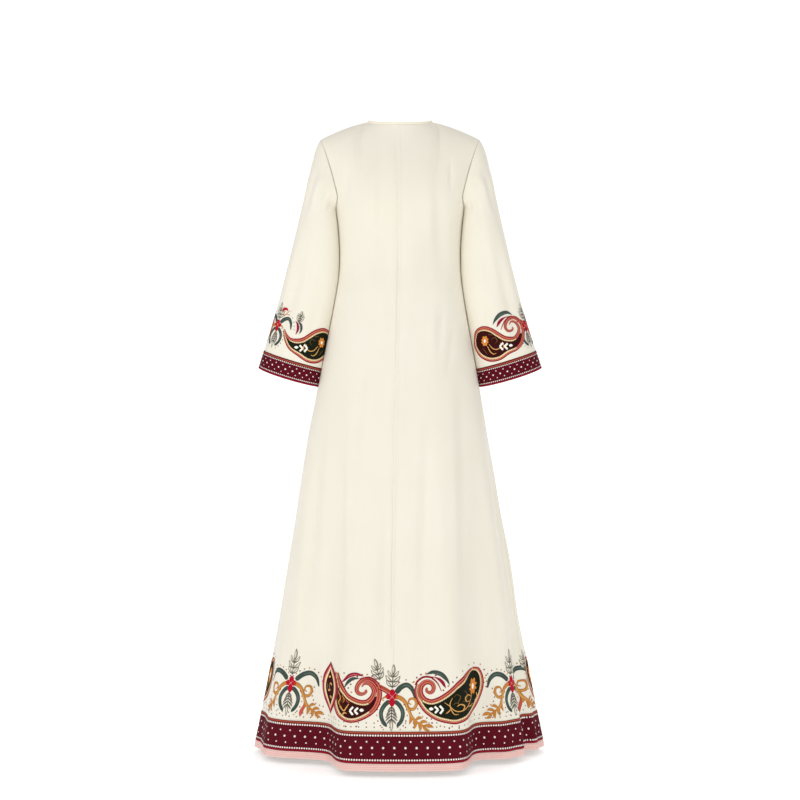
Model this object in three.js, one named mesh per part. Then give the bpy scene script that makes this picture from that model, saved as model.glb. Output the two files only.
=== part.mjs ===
// A floor-length kaftan in the hollow form that it takes when worn, sized in millimetres.
// +Z is up, -Y is the front and +X the wearer's left. The origin lies between the two neck points.
import * as THREE from "three";

// Sizes along the garment's length
const hemZ = -1446;
const underarmZ = -205;
const hemBindingHeight = 16;
const hemBandHeight = 68;
const neckBindingHeight = 5;

// Neckline and shoulders
const neckHalf = 74;
const neckPointY = 4;
const neckPointZ = -5;
const napeY = 58;
const napeZ = -18;
const frontNeckY = -86;
const frontNeckZ = -79;
const shoulderTipX = 182;
const shoulderTipZ = -44;
const shoulderSlope = 1.35;

// Cloth and seams
const wall = 1.5;
const seamGap = 0.3;
const bindingProud = 0.4;
const bindingGap = 0.4;

// Angles are in degrees round the body, from the centre back towards the wearer's left.
const quarter = 90;
const half = 180;
const neckAngle = 30;
const armholeAngle = 66;
const armholeScoop = 0.16; // share of the rise from underarm to shoulder that the round lower part takes
const squareness = 0.03; // how far a section bulges past an ellipse on its diagonals
const smallStep = 0.01;

// Sections of the body. The seams turn and the skirt drifts a little to the wearer's left on the way down.
const bodySections = [
  { z: -1446, halfWidth: 319, back: 138, front: 222, drift: 1, turn: 2.4 },
  { z: -1200, halfWidth: 278, back: 136, front: 202, drift: 1, turn: 2.4 },
  { z: -964, halfWidth: 243, back: 132, front: 183, drift: 2, turn: 2.0 },
  { z: -734, halfWidth: 207, back: 128, front: 164, drift: 4, turn: 1.2 },
  { z: -600, halfWidth: 183, back: 122, front: 153, drift: 3, turn: 0.6 },
  { z: -480, halfWidth: 161, back: 115, front: 143, drift: 2, turn: 0.1 },
  { z: -400, halfWidth: 148, back: 109, front: 137, drift: 1, turn: 0 },
  { z: -343, halfWidth: 141, back: 104, front: 134, drift: 0, turn: 0 },
  { z: -270, halfWidth: 142, back: 103, front: 134, drift: 0, turn: 0 },
  { z: -205, halfWidth: 149, back: 106, front: 126, drift: 0, turn: 0 },
];

// Skirt folds: each lifts the cloth between two angles at the hem and fades out at its top.
// The edges open by these angles on the way up, and edge is how soft they are.
const skirtFolds = [
  { from: -26, to: 24.5, height: 100, top: -430, openFrom: -18, openTo: 14, edge: 3.8 },
  { from: -84, to: -64, height: -28, top: -620, openFrom: 0, openTo: -2, edge: 3.0 },
  { from: -50, to: -42, height: 12, top: -700, openFrom: -2, openTo: 0, edge: 3.5 },
  { from: 48, to: 72, height: 12, top: -640, openFrom: 0, openTo: 3, edge: 4.0 },
  { from: -112, to: -96, height: 24, top: -600, openFrom: 0, openTo: 0, edge: 3.5 },
  { from: 94, to: 112, height: 24, top: -560, openFrom: 0, openTo: 0, edge: 3.5 },
  { from: 126, to: 150, height: 44, top: -480, openFrom: -4, openTo: 6, edge: 3.5 },
  { from: 166, to: 194, height: 38, top: -520, openFrom: -3, openTo: 5, edge: 3.5 },
  { from: 212, to: 236, height: 46, top: -470, openFrom: -6, openTo: 3, edge: 3.5 },
];
const foldFade = 1.3;
const foldSoftening = 6;

// How the cloth reaches the neckline and shoulder seam, by angle from the middle of the back or front:
// its slope over the shoulder, its slope in towards the neck in mm, and its slopes up.
const topLean = [
  { out: 0, over: 0.5, inward: 0, backUp: 0.85, frontUp: 0.85 },
  { out: 10, over: 0.65, inward: 25, backUp: 0.58, frontUp: 0.72 },
  { out: 20, over: 0.9, inward: 60, backUp: 0.32, frontUp: 0.61 },
  { out: 30, over: 1.15, inward: 100, backUp: 0.22, frontUp: 0.71 },
  { out: 40, over: 1.9, inward: 50, backUp: 0.12, frontUp: 0.35 },
  { out: 52, over: 2.5, inward: 15, backUp: 0.03, frontUp: 0.1 },
  { out: 66, over: 3.2, inward: 0, backUp: 0, frontUp: 0 },
];
const columnSwell = 1.15;

// Sleeve sections from below the armhole to the cuff edge, seen from behind: the outer and inner
// ends of each section, its middle along Y, and its half depth. The last stretch is the cuff band.
const sleeveSections = [
  { outerX: 209, outerZ: -124, innerX: 148, innerZ: -214, middleY: 1, depth: 53 },
  { outerX: 222, outerZ: -184, innerX: 146, innerZ: -246, middleY: 4, depth: 54 },
  { outerX: 240, outerZ: -262, innerX: 142, innerZ: -308, middleY: 6, depth: 54 },
  { outerX: 261, outerZ: -348, innerX: 143, innerZ: -388, middleY: 3, depth: 54 },
  { outerX: 283, outerZ: -432, innerX: 158, innerZ: -470, middleY: -2, depth: 55 },
  { outerX: 301, outerZ: -493, innerX: 171, innerZ: -530, middleY: -6, depth: 56 },
  { outerX: 313, outerZ: -528, innerX: 179, innerZ: -571, middleY: -9, depth: 57 },
  { outerX: 326, outerZ: -568, innerX: 187, innerZ: -612, middleY: -11, depth: 58 },
];
const capSlope = -0.45; // fall of the sleeve head where it leaves the shoulder
const capRoundness = 0.4;
const bodyClearance = 4;
const clearanceGrowth = 0.5; // ring steps over which the sleeve leaves the body
const sleeveSteps = [0.3, 0.6, 1, 1.5, 2, 2.5, 3, 3.5, 4, 4.5, 5, 6];
const cuffSteps = [0, 0.5, 1];

// Mesh rows and columns
const skirtRows = [
  -1295, -1210, -1120, -1030, -940, -850, -770, -700, -630, -560, -500, -440, -390, -343, -300, -250,
];
const scoopTurns = [67.5, 45, 22.5, 0];
const upperRises = [0.27, 0.39, 0.51, 0.62, 0.72, 0.81, 0.88, 0.94, 1];
const neckColumns = 8;
const shoulderColumns = 10;

const cream = { color: 0xf1ecda, roughness: 0.8, metalness: 0 };
const burgundy = { color: 0x6b1424, roughness: 0.75, metalness: 0 };
const blush = { color: 0xf0c4bd, roughness: 0.6, metalness: 0 };

const radians = THREE.MathUtils.degToRad;
const between = THREE.MathUtils.lerp;

// One column of a table at any key, on a smooth curve through its rows.
function read(rows, key, column, at) {
  const last = rows.length - 1;
  const slope = (i) => {
    const a = rows[Math.max(i - 1, 0)];
    const b = rows[Math.min(i + 1, last)];
    return (b[column] - a[column]) / (b[key] - a[key]);
  };
  if (at <= rows[0][key]) {
    return rows[0][column] + slope(0) * (at - rows[0][key]);
  }
  if (at >= rows[last][key]) {
    return rows[last][column] + slope(last) * (at - rows[last][key]);
  }
  const i = rows.findIndex((row) => row[key] > at) - 1;
  const span = rows[i + 1][key] - rows[i][key];
  return hermite(
    rows[i][column],
    slope(i) * span,
    rows[i + 1][column],
    slope(i + 1) * span,
    (at - rows[i][key]) / span,
  );
}

// Cubic between two values with the given slopes at its ends.
function hermite(start, startSlope, end, endSlope, t) {
  const t2 = t * t;
  const t3 = t2 * t;
  return (
    start * (2 * t3 - 3 * t2 + 1) +
    startSlope * (t3 - 2 * t2 + t) +
    end * (3 * t2 - 2 * t3) +
    endSlope * (t3 - t2)
  );
}

// An angle as the same direction from -180 to 180.
function wrapped(angle) {
  return angle - 2 * half * Math.round(angle / (2 * half));
}

// How far the folds lift the skirt at an angle and height.
function foldLift(angle, z) {
  let lift = 0;
  for (const fold of skirtFolds) {
    const fade = THREE.MathUtils.clamp((fold.top - z) / (fold.top - hemZ), 0, 1);
    const middle = (fold.from + fold.to) / 2;
    const out = wrapped(angle - middle);
    const low = fold.from - middle + fold.openFrom * (1 - fade);
    const high = fold.to - middle + fold.openTo * (1 - fade);
    const edge = fold.edge + foldSoftening * (1 - fade);
    const shape = (Math.tanh((out - low) / edge) - Math.tanh((out - high) / edge)) / 2;
    lift += fold.height * fade ** foldFade * shape;
  }
  return lift;
}

// A point of the body's section at a height, below the underarm.
function sectionPoint(seamAngle, z) {
  const at = (column) => read(bodySections, "z", column, z);
  const angle = seamAngle + at("turn");
  const sin = Math.sin(radians(angle));
  const cos = Math.cos(radians(angle));
  const depth = cos > 0 ? at("back") : at("front");
  const square = 1 + squareness * (2 * sin * cos) ** 2;
  const outward = new THREE.Vector3(sin * depth, cos * at("halfWidth"), 0).normalize();
  return new THREE.Vector3(sin * at("halfWidth") * square, cos * depth * square, z)
    .addScaledVector(outward, foldLift(angle, z))
    .add(new THREE.Vector3(at("drift"), 0, 0));
}

// The neckline and shoulder seam: where the column at an angle ends.
function topPoint(angle) {
  const turned = wrapped(angle);
  const isBack = Math.abs(turned) <= quarter;
  const out = isBack ? Math.abs(turned) : half - Math.abs(turned);
  const side = turned < 0 ? -1 : 1;
  const neckY = isBack ? napeY : frontNeckY;
  const neckZ = isBack ? napeZ : frontNeckZ;
  if (out <= neckAngle) {
    const bend = radians((out / neckAngle) * quarter);
    const middle = Math.cos(bend);
    return new THREE.Vector3(
      side * neckHalf * Math.sin(bend),
      between(neckPointY, neckY, middle),
      between(neckPointZ, neckZ, middle),
    );
  }
  const along = (out - neckAngle) / (armholeAngle - neckAngle);
  return new THREE.Vector3(
    side * between(neckHalf, shoulderTipX, along),
    between(neckPointY, 0, along),
    between(neckPointZ, shoulderTipZ, along ** shoulderSlope),
  );
}

// The body's outer face. The level runs from 0 at the hem to 1 at the underarm and 2 at the top line.
function bodyPoint(angle, level) {
  if (level <= 1) {
    return sectionPoint(angle, between(hemZ, underarmZ, level));
  }
  const turned = wrapped(angle);
  const isBack = Math.abs(turned) <= quarter;
  const out = isBack ? Math.abs(turned) : half - Math.abs(turned);
  const low = sectionPoint(angle, underarmZ);
  const high = topPoint(angle);
  const rise = high.z - low.z;
  const lowSlope = low
    .clone()
    .sub(sectionPoint(angle, underarmZ - 1))
    .multiplyScalar(rise * columnSwell);
  const highSlope = new THREE.Vector3(
    -Math.sign(turned) * read(topLean, "out", "inward", out),
    (high.y - low.y) * read(topLean, "out", "over", out),
    rise * read(topLean, "out", isBack ? "backUp" : "frontUp", out),
  );
  const t = level - 1;
  const axis = (name) => hermite(low[name], lowSlope[name], high[name], highSlope[name], t);
  return new THREE.Vector3(axis("x"), axis("y"), axis("z"));
}

// The body's outward direction at a point of its face. At the shoulder seam front and back share one.
function bodyNormal(angle, level) {
  const round = bodyPoint(angle + smallStep, level).sub(bodyPoint(angle - smallStep, level));
  const up = bodyPoint(angle, level).sub(bodyPoint(angle, level - smallStep));
  const normal = up.cross(round).normalize();
  const turned = Math.abs(wrapped(angle));
  const out = Math.min(turned, half - turned);
  if (level >= 2 && out > neckAngle - smallStep) {
    normal.setY(0).normalize();
  }
  return normal;
}

const levelOf = (z) => (z - hemZ) / (underarmZ - hemZ);

// How far round a panel reaches at a level: to the side seam, then in round the armhole.
function reach(level) {
  const rise = level - 1;
  if (rise <= 0) {
    return 1;
  }
  const scoop = Math.max(1 - rise / armholeScoop, 0);
  const cut = (quarter - armholeAngle) * Math.sqrt(1 - scoop * scoop);
  return (quarter - cut) / quarter;
}

// Angles that cut the hem between two angles into steps of like length.
function evenAngles(from, to, count) {
  const fine = 400;
  const angles = Array.from({ length: fine + 1 }, (_, i) => between(from, to, i / fine));
  const points = angles.map((angle) => sectionPoint(angle, hemZ));
  const lengths = [0];
  for (let i = 1; i <= fine; i++) {
    lengths.push(lengths[i - 1] + points[i].distanceTo(points[i - 1]));
  }
  return Array.from({ length: count + 1 }, (_, k) => {
    const target = (lengths[fine] * k) / count;
    const i = Math.min(Math.max(lengths.findIndex((length) => length >= target), 1), fine);
    const share = (target - lengths[i - 1]) / (lengths[i] - lengths[i - 1]);
    return between(angles[i - 1], angles[i], share);
  });
}

// Column angles of a quarter of the body, from the middle of its front or back to the side seam.
function quarterAngles(middle, side) {
  const neckColumn = between(middle, side, neckAngle / armholeAngle);
  return [
    ...evenAngles(middle, neckColumn, neckColumns),
    ...evenAngles(neckColumn, side, shoulderColumns).slice(1),
  ];
}

const backLeft = quarterAngles(0, quarter);
const backRight = quarterAngles(0, -quarter);
const frontLeft = quarterAngles(half, quarter);
const frontRight = quarterAngles(half, half + quarter);
const backAngles = [...backRight.slice(1).reverse(), ...backLeft];
const frontAngles = [...frontLeft.slice(1).reverse(), ...frontRight];

const upperLevels = [
  ...scoopTurns.map((turn) => 1 + armholeScoop * (1 - Math.sin(radians(turn)))),
  ...upperRises.map((rise) => 1 + rise),
];
const hemBandZ = hemZ + hemBindingHeight;
const panelZ = hemBandZ + hemBandHeight;
const panelLevels = [levelOf(panelZ), ...skirtRows.map(levelOf), 1, ...upperLevels];

// An angle drawn in towards the middle of its own half of the body, as the armhole needs.
function drawnIn(angle, level) {
  const middle = Math.abs(wrapped(angle)) <= quarter ? 0 : half;
  return middle + (angle - middle) * reach(level);
}

// A piece of the body: the grid of its outer points and their outward directions.
function bodyGrid(angles, levels, middle) {
  const angleAt = (angle, level) => middle + (angle - middle) * reach(level);
  return {
    points: levels.map((level) => angles.map((angle) => bodyPoint(angleAt(angle, level), level))),
    normals: levels.map((level) => angles.map((angle) => bodyNormal(angleAt(angle, level), level))),
  };
}

// Moves a grid's chosen edges in by half a seam gap.
function trimEdges(points, edges) {
  const rows = points.length - 1;
  const columns = points[0].length - 1;
  const moved = points.map((row) => row.map((point) => point.clone()));
  const pull = (j, i, towardsJ, towardsI) => {
    const step = points[towardsJ][towardsI].clone().sub(points[j][i]).setLength(seamGap / 2);
    moved[j][i].add(step);
  };
  for (let j = 0; j <= rows; j++) {
    if (edges.includes("start")) pull(j, 0, j, 1);
    if (edges.includes("end")) pull(j, columns, j, columns - 1);
  }
  for (let i = 0; i <= columns; i++) {
    if (edges.includes("bottom")) pull(0, i, 1, i);
    if (edges.includes("top")) pull(rows, i, rows - 1, i);
  }
  return moved;
}

// A closed wall between two like grids of points. A round one joins its last column to its first.
function wallGeometry(outer, inner, isRound) {
  const rows = outer.length;
  const columns = outer[0].length;
  const points = [...outer.flat(), ...inner.flat()];
  const at = (face, j, i) => (face * rows + j) * columns + (i % columns);
  const triangles = [];
  const quad = (a, b, c, d) => triangles.push([a, b, c], [a, c, d]);
  const steps = isRound ? columns : columns - 1;
  for (let i = 0; i < steps; i++) {
    for (let j = 0; j < rows - 1; j++) {
      quad(at(0, j, i), at(0, j, i + 1), at(0, j + 1, i + 1), at(0, j + 1, i));
      quad(at(1, j, i), at(1, j + 1, i), at(1, j + 1, i + 1), at(1, j, i + 1));
    }
    quad(at(0, 0, i), at(1, 0, i), at(1, 0, i + 1), at(0, 0, i + 1));
    quad(at(0, rows - 1, i), at(0, rows - 1, i + 1), at(1, rows - 1, i + 1), at(1, rows - 1, i));
  }
  for (let j = 0; j < rows - 1 && !isRound; j++) {
    quad(at(0, j, 0), at(0, j + 1, 0), at(1, j + 1, 0), at(1, j, 0));
    quad(at(0, j, steps), at(1, j, steps), at(1, j + 1, steps), at(0, j + 1, steps));
  }
  const volume = triangles.reduce((sum, [a, b, c]) => {
    return sum + points[a].dot(points[b].clone().cross(points[c]));
  }, 0);
  const facing = volume < 0 ? triangles.map(([a, b, c]) => [a, c, b]) : triangles;
  const geometry = new THREE.BufferGeometry().setFromPoints(points);
  geometry.setIndex(facing.flat());
  geometry.computeVertexNormals();
  return geometry;
}

// The same grid moved along its outward directions.
function movedOut(points, normals, distance) {
  return points.map((row, j) => {
    return row.map((point, i) => point.clone().addScaledVector(normals[j][i], distance));
  });
}

function piece(name, geometry, finish) {
  const mesh = new THREE.Mesh(geometry, new THREE.MeshStandardMaterial(finish));
  mesh.name = name;
  return mesh;
}

// A flat-cut piece of the body between two seams.
function bodyPiece(name, angles, levels, middle, edges, finish) {
  const { points, normals } = bodyGrid(angles, levels, middle);
  const outer = trimEdges(points, edges);
  const inner = movedOut(outer, normals, -wall);
  return piece(name, wallGeometry(outer, inner, false), finish);
}

// The armhole as a loop of points and outward directions: from the shoulder down the back edge
// to the underarm, and up the front edge.
function armholeLoop(side) {
  const edge = (middle, level) => {
    const turn = middle ? middle - quarter * reach(level) : quarter * reach(level);
    return { point: bodyPoint(side * turn, level), normal: bodyNormal(side * turn, level) };
  };
  const levels = [1, ...upperLevels];
  const back = levels.map((level) => edge(0, level)).reverse();
  const front = levels.slice(1, -1).map((level) => edge(half, level));
  return [...back, ...front];
}

// Where each point of the loop stands round the sleeve: 0 on top, half a turn at the underarm.
function loopTurns(loop) {
  const under = upperLevels.length;
  const closed = [...loop, loop[0]];
  const lengths = [0];
  for (let i = 1; i < closed.length; i++) {
    lengths.push(lengths[i - 1] + closed[i].distanceTo(closed[i - 1]));
  }
  const downBack = lengths[under];
  const upFront = lengths.at(-1) - downBack;
  return loop.map((_, i) => {
    const isBack = i <= under;
    const share = isBack ? lengths[i] / downBack : 1 + (lengths[i] - downBack) / upFront;
    return Math.PI * share;
  });
}

// A point that would lie inside the body's skin, moved out to stand clear of it.
function clearOfBody(point, clearance) {
  const at = (column) => read(bodySections, "z", column, Math.min(point.z, underarmZ));
  const x = point.x - at("drift");
  const across = at("halfWidth") + clearance;
  const deep = (point.y > 0 ? at("back") : at("front")) + clearance;
  const round = Math.atan2(x / across, point.y / deep);
  const square = 1 + squareness * Math.sin(2 * round) ** 2;
  const share = Math.hypot(x / across, point.y / deep) / square;
  if (share >= 1) {
    return point;
  }
  return new THREE.Vector3(at("drift") + x / share, point.y / share, point.z);
}

// A smooth curve through a sleeve column's points, read at a step along it.
function throughPoints(points, startSlope, step) {
  const last = points.length - 1;
  const i = Math.min(Math.floor(step), last - 1);
  const slope = (k) => {
    const a = points[Math.max(k - 1, 0)];
    const b = points[Math.min(k + 1, last)];
    return b.clone().sub(a).divideScalar(Math.min(k + 1, last) - Math.max(k - 1, 0));
  };
  const [m0, m1] = [i ? slope(i) : startSlope, slope(i + 1)];
  const axis = (name) => hermite(points[i][name], m0[name], points[i + 1][name], m1[name], step - i);
  return new THREE.Vector3(axis("x"), axis("y"), axis("z"));
}

// Rows of a sleeve from the armhole to the cuff, on the wearer's left (1) or right (-1).
function sleeveRows(side, loop, steps) {
  const turns = loopTurns(loop.map(({ point }) => point));
  const outward = new THREE.Vector3(side, 0, -0.2).setLength(seamGap);
  const capDirection = new THREE.Vector3(side, 0, capSlope).normalize();
  const columns = turns.map((turn, i) => {
    const start = loop[i].point.clone().add(outward);
    const top = (1 + Math.cos(turn)) / 2;
    const points = sleeveSections.map((section) => {
      return new THREE.Vector3(
        side * between(section.innerX, section.outerX, top),
        section.middleY + section.depth * Math.sin(turn),
        between(section.innerZ, section.outerZ, top),
      );
    });
    const straight = points[0].clone().sub(start);
    const rounded = capDirection.clone().setLength(straight.length());
    return { points: [start, ...points], slope: straight.lerp(rounded, capRoundness * top) };
  });
  return steps.map((step) => {
    return columns.map(({ points, slope }) => {
      const growth = Math.min(step / clearanceGrowth, 1);
      const point = throughPoints(points, slope, step);
      return step === 0 ? point : clearOfBody(point, between(seamGap, bodyClearance, growth));
    });
  });
}

// Outward directions of a round grid, from its neighbouring points.
function roundNormals(points, side) {
  const columns = points[0].length;
  return points.map((row, j) => {
    return row.map((_, i) => {
      const round = row[(i + 1) % columns].clone().sub(row[(i + columns - 1) % columns]);
      const below = points[Math.min(j + 1, points.length - 1)][i];
      const above = points[Math.max(j - 1, 0)][i];
      return below.clone().sub(above).cross(round).multiplyScalar(side).normalize();
    });
  });
}

// A sleeve and its cuff band share one grid, so that they meet edge to edge.
function sleevePieces(side, name) {
  const bandStart = sleeveSections.length - 1;
  const steps = [0, ...sleeveSteps, ...cuffSteps.map((step) => bandStart + step)];
  const loop = armholeLoop(side);
  const grid = sleeveRows(side, loop, steps);
  const normals = roundNormals(grid, side);
  normals[0] = loop.map(({ normal }) => normal);
  const seamRow = steps.indexOf(bandStart);
  const cut = (from, to, edges) => {
    const outer = trimEdges(grid.slice(from, to), edges);
    const inner = movedOut(outer, normals.slice(from, to), -wall);
    return wallGeometry(outer, inner, true);
  };
  return [
    piece("sleeve_" + name, cut(0, seamRow + 1, ["top"]), cream),
    piece("cuff_band_" + name, cut(seamRow, steps.length, ["bottom"]), burgundy),
  ];
}

// The narrow binding that stands round the neckline.
function neckBinding() {
  const neckColumn = (angles) => angles.slice(0, neckColumns + 1);
  const quarters = [backLeft, frontLeft, frontRight, backRight].map(neckColumn);
  const [a, b, c, d] = quarters;
  const angles = [...a, ...b.slice(0, -1).reverse(), ...c.slice(1), ...d.slice(1, -1).reverse()];
  const loop = angles.map((angle) => bodyPoint(drawnIn(angle, 2), 2));
  const inwardLean = 0.25;
  const along = loop.map((_, i) => {
    const next = loop[(i + 1) % loop.length];
    const before = loop[(i + loop.length - 1) % loop.length];
    return next.clone().sub(before).normalize();
  });
  const rise = loop.map((point, i) => {
    const inward = new THREE.Vector3(-point.x, neckPointY - point.y, 0).setLength(inwardLean);
    return inward.setZ(1).projectOnPlane(along[i]).normalize();
  });
  const outward = loop.map((_, i) => rise[i].clone().cross(along[i]).normalize());
  const ring = (height, out) => {
    return loop.map((point, i) => {
      return point.clone().addScaledVector(rise[i], height).addScaledVector(outward[i], out);
    });
  };
  const heights = [bindingGap, bindingGap + neckBindingHeight];
  const outer = heights.map((height) => ring(height, bindingProud));
  const inner = heights.map((height) => ring(height, -wall - bindingProud));
  return piece("neck_binding", wallGeometry(outer, inner, true), cream);
}

const panelEdges = ["start", "end", "bottom", "top"];
const hemBandLevels = [hemBandZ, (hemBandZ + panelZ) / 2, panelZ].map(levelOf);
const hemBindingLevels = [hemZ, hemBandZ].map(levelOf);

const kaftan = new THREE.Group();
kaftan.add(
  bodyPiece("back_left", backLeft, panelLevels, 0, panelEdges, cream),
  bodyPiece("back_right", backRight, panelLevels, 0, panelEdges, cream),
  bodyPiece("front", frontAngles, panelLevels, half, panelEdges, cream),
  bodyPiece("hem_band_back", backAngles, hemBandLevels, 0, panelEdges, burgundy),
  bodyPiece("hem_band_front", frontAngles, hemBandLevels, half, panelEdges, burgundy),
  bodyPiece("hem_binding_back", backAngles, hemBindingLevels, 0, ["start", "end", "top"], blush),
  bodyPiece("hem_binding_front", frontAngles, hemBindingLevels, half, ["start", "end", "top"], blush),
  ...sleevePieces(1, "left"),
  ...sleevePieces(-1, "right"),
  neckBinding(),
);

export default kaftan;
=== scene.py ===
import math

import bpy
import numpy as np
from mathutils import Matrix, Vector


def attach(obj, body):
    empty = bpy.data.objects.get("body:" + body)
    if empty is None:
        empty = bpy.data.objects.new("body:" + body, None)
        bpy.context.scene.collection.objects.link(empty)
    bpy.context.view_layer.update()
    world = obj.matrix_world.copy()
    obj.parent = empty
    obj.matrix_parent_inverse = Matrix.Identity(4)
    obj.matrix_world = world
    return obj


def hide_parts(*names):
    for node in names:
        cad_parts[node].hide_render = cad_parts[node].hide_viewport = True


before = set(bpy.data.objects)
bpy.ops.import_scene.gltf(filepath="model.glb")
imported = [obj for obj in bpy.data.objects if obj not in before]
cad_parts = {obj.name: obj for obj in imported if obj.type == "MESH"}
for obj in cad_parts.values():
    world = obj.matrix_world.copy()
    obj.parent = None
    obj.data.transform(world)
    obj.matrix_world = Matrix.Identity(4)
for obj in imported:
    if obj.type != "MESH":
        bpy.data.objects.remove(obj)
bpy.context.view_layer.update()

# The cloth is worked out in millimetres and put into the meshes in metres.
# Angles are in degrees round the body, from the centre back towards the wearer's left.
mm = 0.001
smallStep = 0.01

garment = {
    "hemZ": -1446,
    "underarmZ": -205,
    "hemBinding": 16,
    "hemBand": 68,
    "neckHalf": 74,
    "neckPoint": (4, -5),
    "nape": (58, -18),
    "frontNeck": (-86, -79),
    "shoulderTip": (182, -44),
    "shoulderSlope": 1.35,
    "neckAngle": 30,
    "armholeAngle": 66,
    "armholeScoop": 0.16,
    "squareness": 0.03,
    "columnSwell": 1.15,
    "foldFade": 1.3,
    "foldSoftening": 6,
    "creaseEnd": 0.08,
    "thickness": 1.2,
}


def table(columns, rows):
    return np.array(rows, dtype=[(name, float) for name in columns.split()])


bodySections = table("z halfWidth back front drift turn", [
    (-1446, 319, 138, 222, 1, 2.4),
    (-1200, 278, 136, 202, 1, 2.4),
    (-964, 243, 132, 183, 2, 2.0),
    (-734, 207, 128, 164, 4, 1.2),
    (-600, 183, 122, 153, 3, 0.6),
    (-480, 161, 115, 143, 2, 0.1),
    (-400, 148, 109, 137, 1, 0),
    (-343, 141, 104, 134, 0, 0),
    (-270, 142, 103, 134, 0, 0),
    (-205, 149, 106, 126, 0, 0),
])

# Each fold lifts the skirt between two angles at the hem and fades out at its top.
skirtFolds = table("start end height top openStart openEnd edge", [
    (-26, 24.5, 100, -430, -18, 14, 3.8),
    (-84, -64, -28, -620, 0, -2, 3.0),
    (-50, -42, 12, -700, -2, 0, 3.5),
    (48, 72, 12, -640, 0, 3, 4.0),
    (-112, -96, 24, -600, 0, 0, 3.5),
    (94, 112, 24, -560, 0, 0, 3.5),
    (126, 150, 44, -480, -4, 6, 3.5),
    (166, 194, 38, -520, -3, 5, 3.5),
    (212, 236, 46, -470, -6, 3, 3.5),
])

# How the cloth reaches the neckline and the shoulder seam, by angle from the middle.
topLean = table("out over inward backUp frontUp", [
    (0, 0.5, 0, 0.85, 0.85),
    (10, 0.65, 25, 0.58, 0.72),
    (20, 0.9, 60, 0.32, 0.61),
    (30, 1.15, 100, 0.22, 0.71),
    (40, 1.9, 50, 0.12, 0.35),
    (52, 2.5, 15, 0.03, 0.1),
    (66, 3.2, 0, 0, 0),
])

sleeveSections = table("outerX outerZ innerX innerZ middleY depth", [
    (209, -124, 142, -214, 1, 53),
    (222, -184, 139, -246, 4, 54),
    (240, -262, 135, -308, 6, 54),
    (261, -348, 136, -388, 3, 54),
    (283, -432, 150, -470, -2, 55),
    (301, -493, 162, -530, -6, 56),
    (313, -528, 170, -571, -9, 57),
    (326, -568, 177, -612, -11, 58),
])

# Soft troughs (negative) and ridges in the back, front and sleeves, each along a straight line
# that fades at both ends. Lengths are in mm, x as it lies in the frame.
backCreases = table("x0 z0 x1 z1 width depth", [
    (40, -62, 47, -390, 14, -5.0),
    (66, -90, 60, -300, 12, 2.4),
    (-86, -170, -98, -400, 17, -4.8),
    (-116, -92, -115, -176, 6, -3.4),
    (-66, -110, -72, -330, 12, 2.4),
    (122, -110, 118, -190, 7, -2.6),
    (-98, -420, -84, -560, 7, -3.6),
    (-80, -410, -66, -540, 8, 2.6),
    (-124, -470, -104, -600, 8, -2.6),
    (118, -420, 92, -520, 10, -2.4),
    (-20, -200, -24, -420, 18, 2.2),
    (22, -330, 18, -560, 14, -2.0),
    (86, -480, 106, -900, 14, -3.4),
    (112, -640, 126, -1080, 12, 2.6),
    (128, -690, 138, -1290, 11, -7.2),
    (100, -760, 104, -1300, 15, 3.6),
    (-88, -700, -92, -1300, 14, 3.6),
    (-62, -640, -43, -1300, 13, -6.2),
    (-104, -900, -118, -1310, 13, 3.4),
    (-134, -600, -150, -1290, 11, -7.0),
    (60, -820, 72, -1330, 24, 3.4),
    (30, -760, 36, -1300, 15, -4.6),
    (182, -700, 214, -1240, 11, -6.6),
    (160, -640, 178, -1230, 12, 3.6),
    (206, -760, 240, -1300, 10, 3.0),
    (236, -860, 266, -1330, 10, -4.6),
    (-188, -660, -292, -1350, 5, -6.5),
    (-170, -640, -262, -1350, 14, 5.5),
    (-199, -680, -304, -1350, 6, 5.0),
])

frontCreases = table("x0 z0 x1 z1 width depth", [
    (-96, -100, -70, -210, 10, -3.4),
    (100, -98, 76, -204, 10, -3.2),
    (-52, -110, -44, -380, 14, -3.2),
    (46, -130, 40, -360, 14, -2.8),
    (-112, -330, -80, -460, 10, -3.6),
    (114, -340, 88, -450, 10, -3.2),
    (0, -300, 6, -640, 16, 2.6),
    (-60, -620, -84, -1250, 16, -5.0),
    (30, -700, 38, -1290, 18, 4.4),
    (96, -640, 120, -1270, 14, -5.0),
    (-140, -640, -190, -1280, 12, -4.6),
    (170, -760, 214, -1290, 13, 4.2),
    (-10, -820, -14, -1330, 14, -4.4),
    (-230, -860, -262, -1330, 11, 3.8),
    (226, -820, 262, -1310, 10, -4.4),
])

# Creases of a sleeve lie between a turn (0 on top, 0.5 at the middle of the back) and a step down it.
sleeveCreases = table("turn0 step0 turn1 step1 width depth", [
    (0.30, 0.5, 0.22, 2.6, 9, -4.6),
    (0.42, 0.2, 0.36, 1.9, 8, 2.8),
    (0.62, 0.5, 0.48, 2.3, 7, -3.8),
    (0.74, 0.6, 0.60, 2.0, 6, -3.8),
    (0.52, 2.6, 0.46, 4.6, 10, -3.4),
    (0.34, 3.0, 0.30, 6.2, 11, -4.2),
    (0.60, 3.6, 0.62, 6.6, 10, -3.2),
    (0.20, 2.4, 0.18, 5.4, 11, 3.0),
    (0.46, 4.4, 0.44, 6.8, 9, 2.4),
    (-0.28, 0.6, -0.24, 2.8, 9, -3.8),
    (-0.60, 0.5, -0.46, 2.2, 7, -3.4),
    (-0.40, 2.6, -0.36, 6.0, 12, -3.8),
    (-0.62, 3.4, -0.60, 6.4, 10, -3.2),
    (-0.12, 1.4, -0.10, 4.2, 11, 2.6),
])


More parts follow.
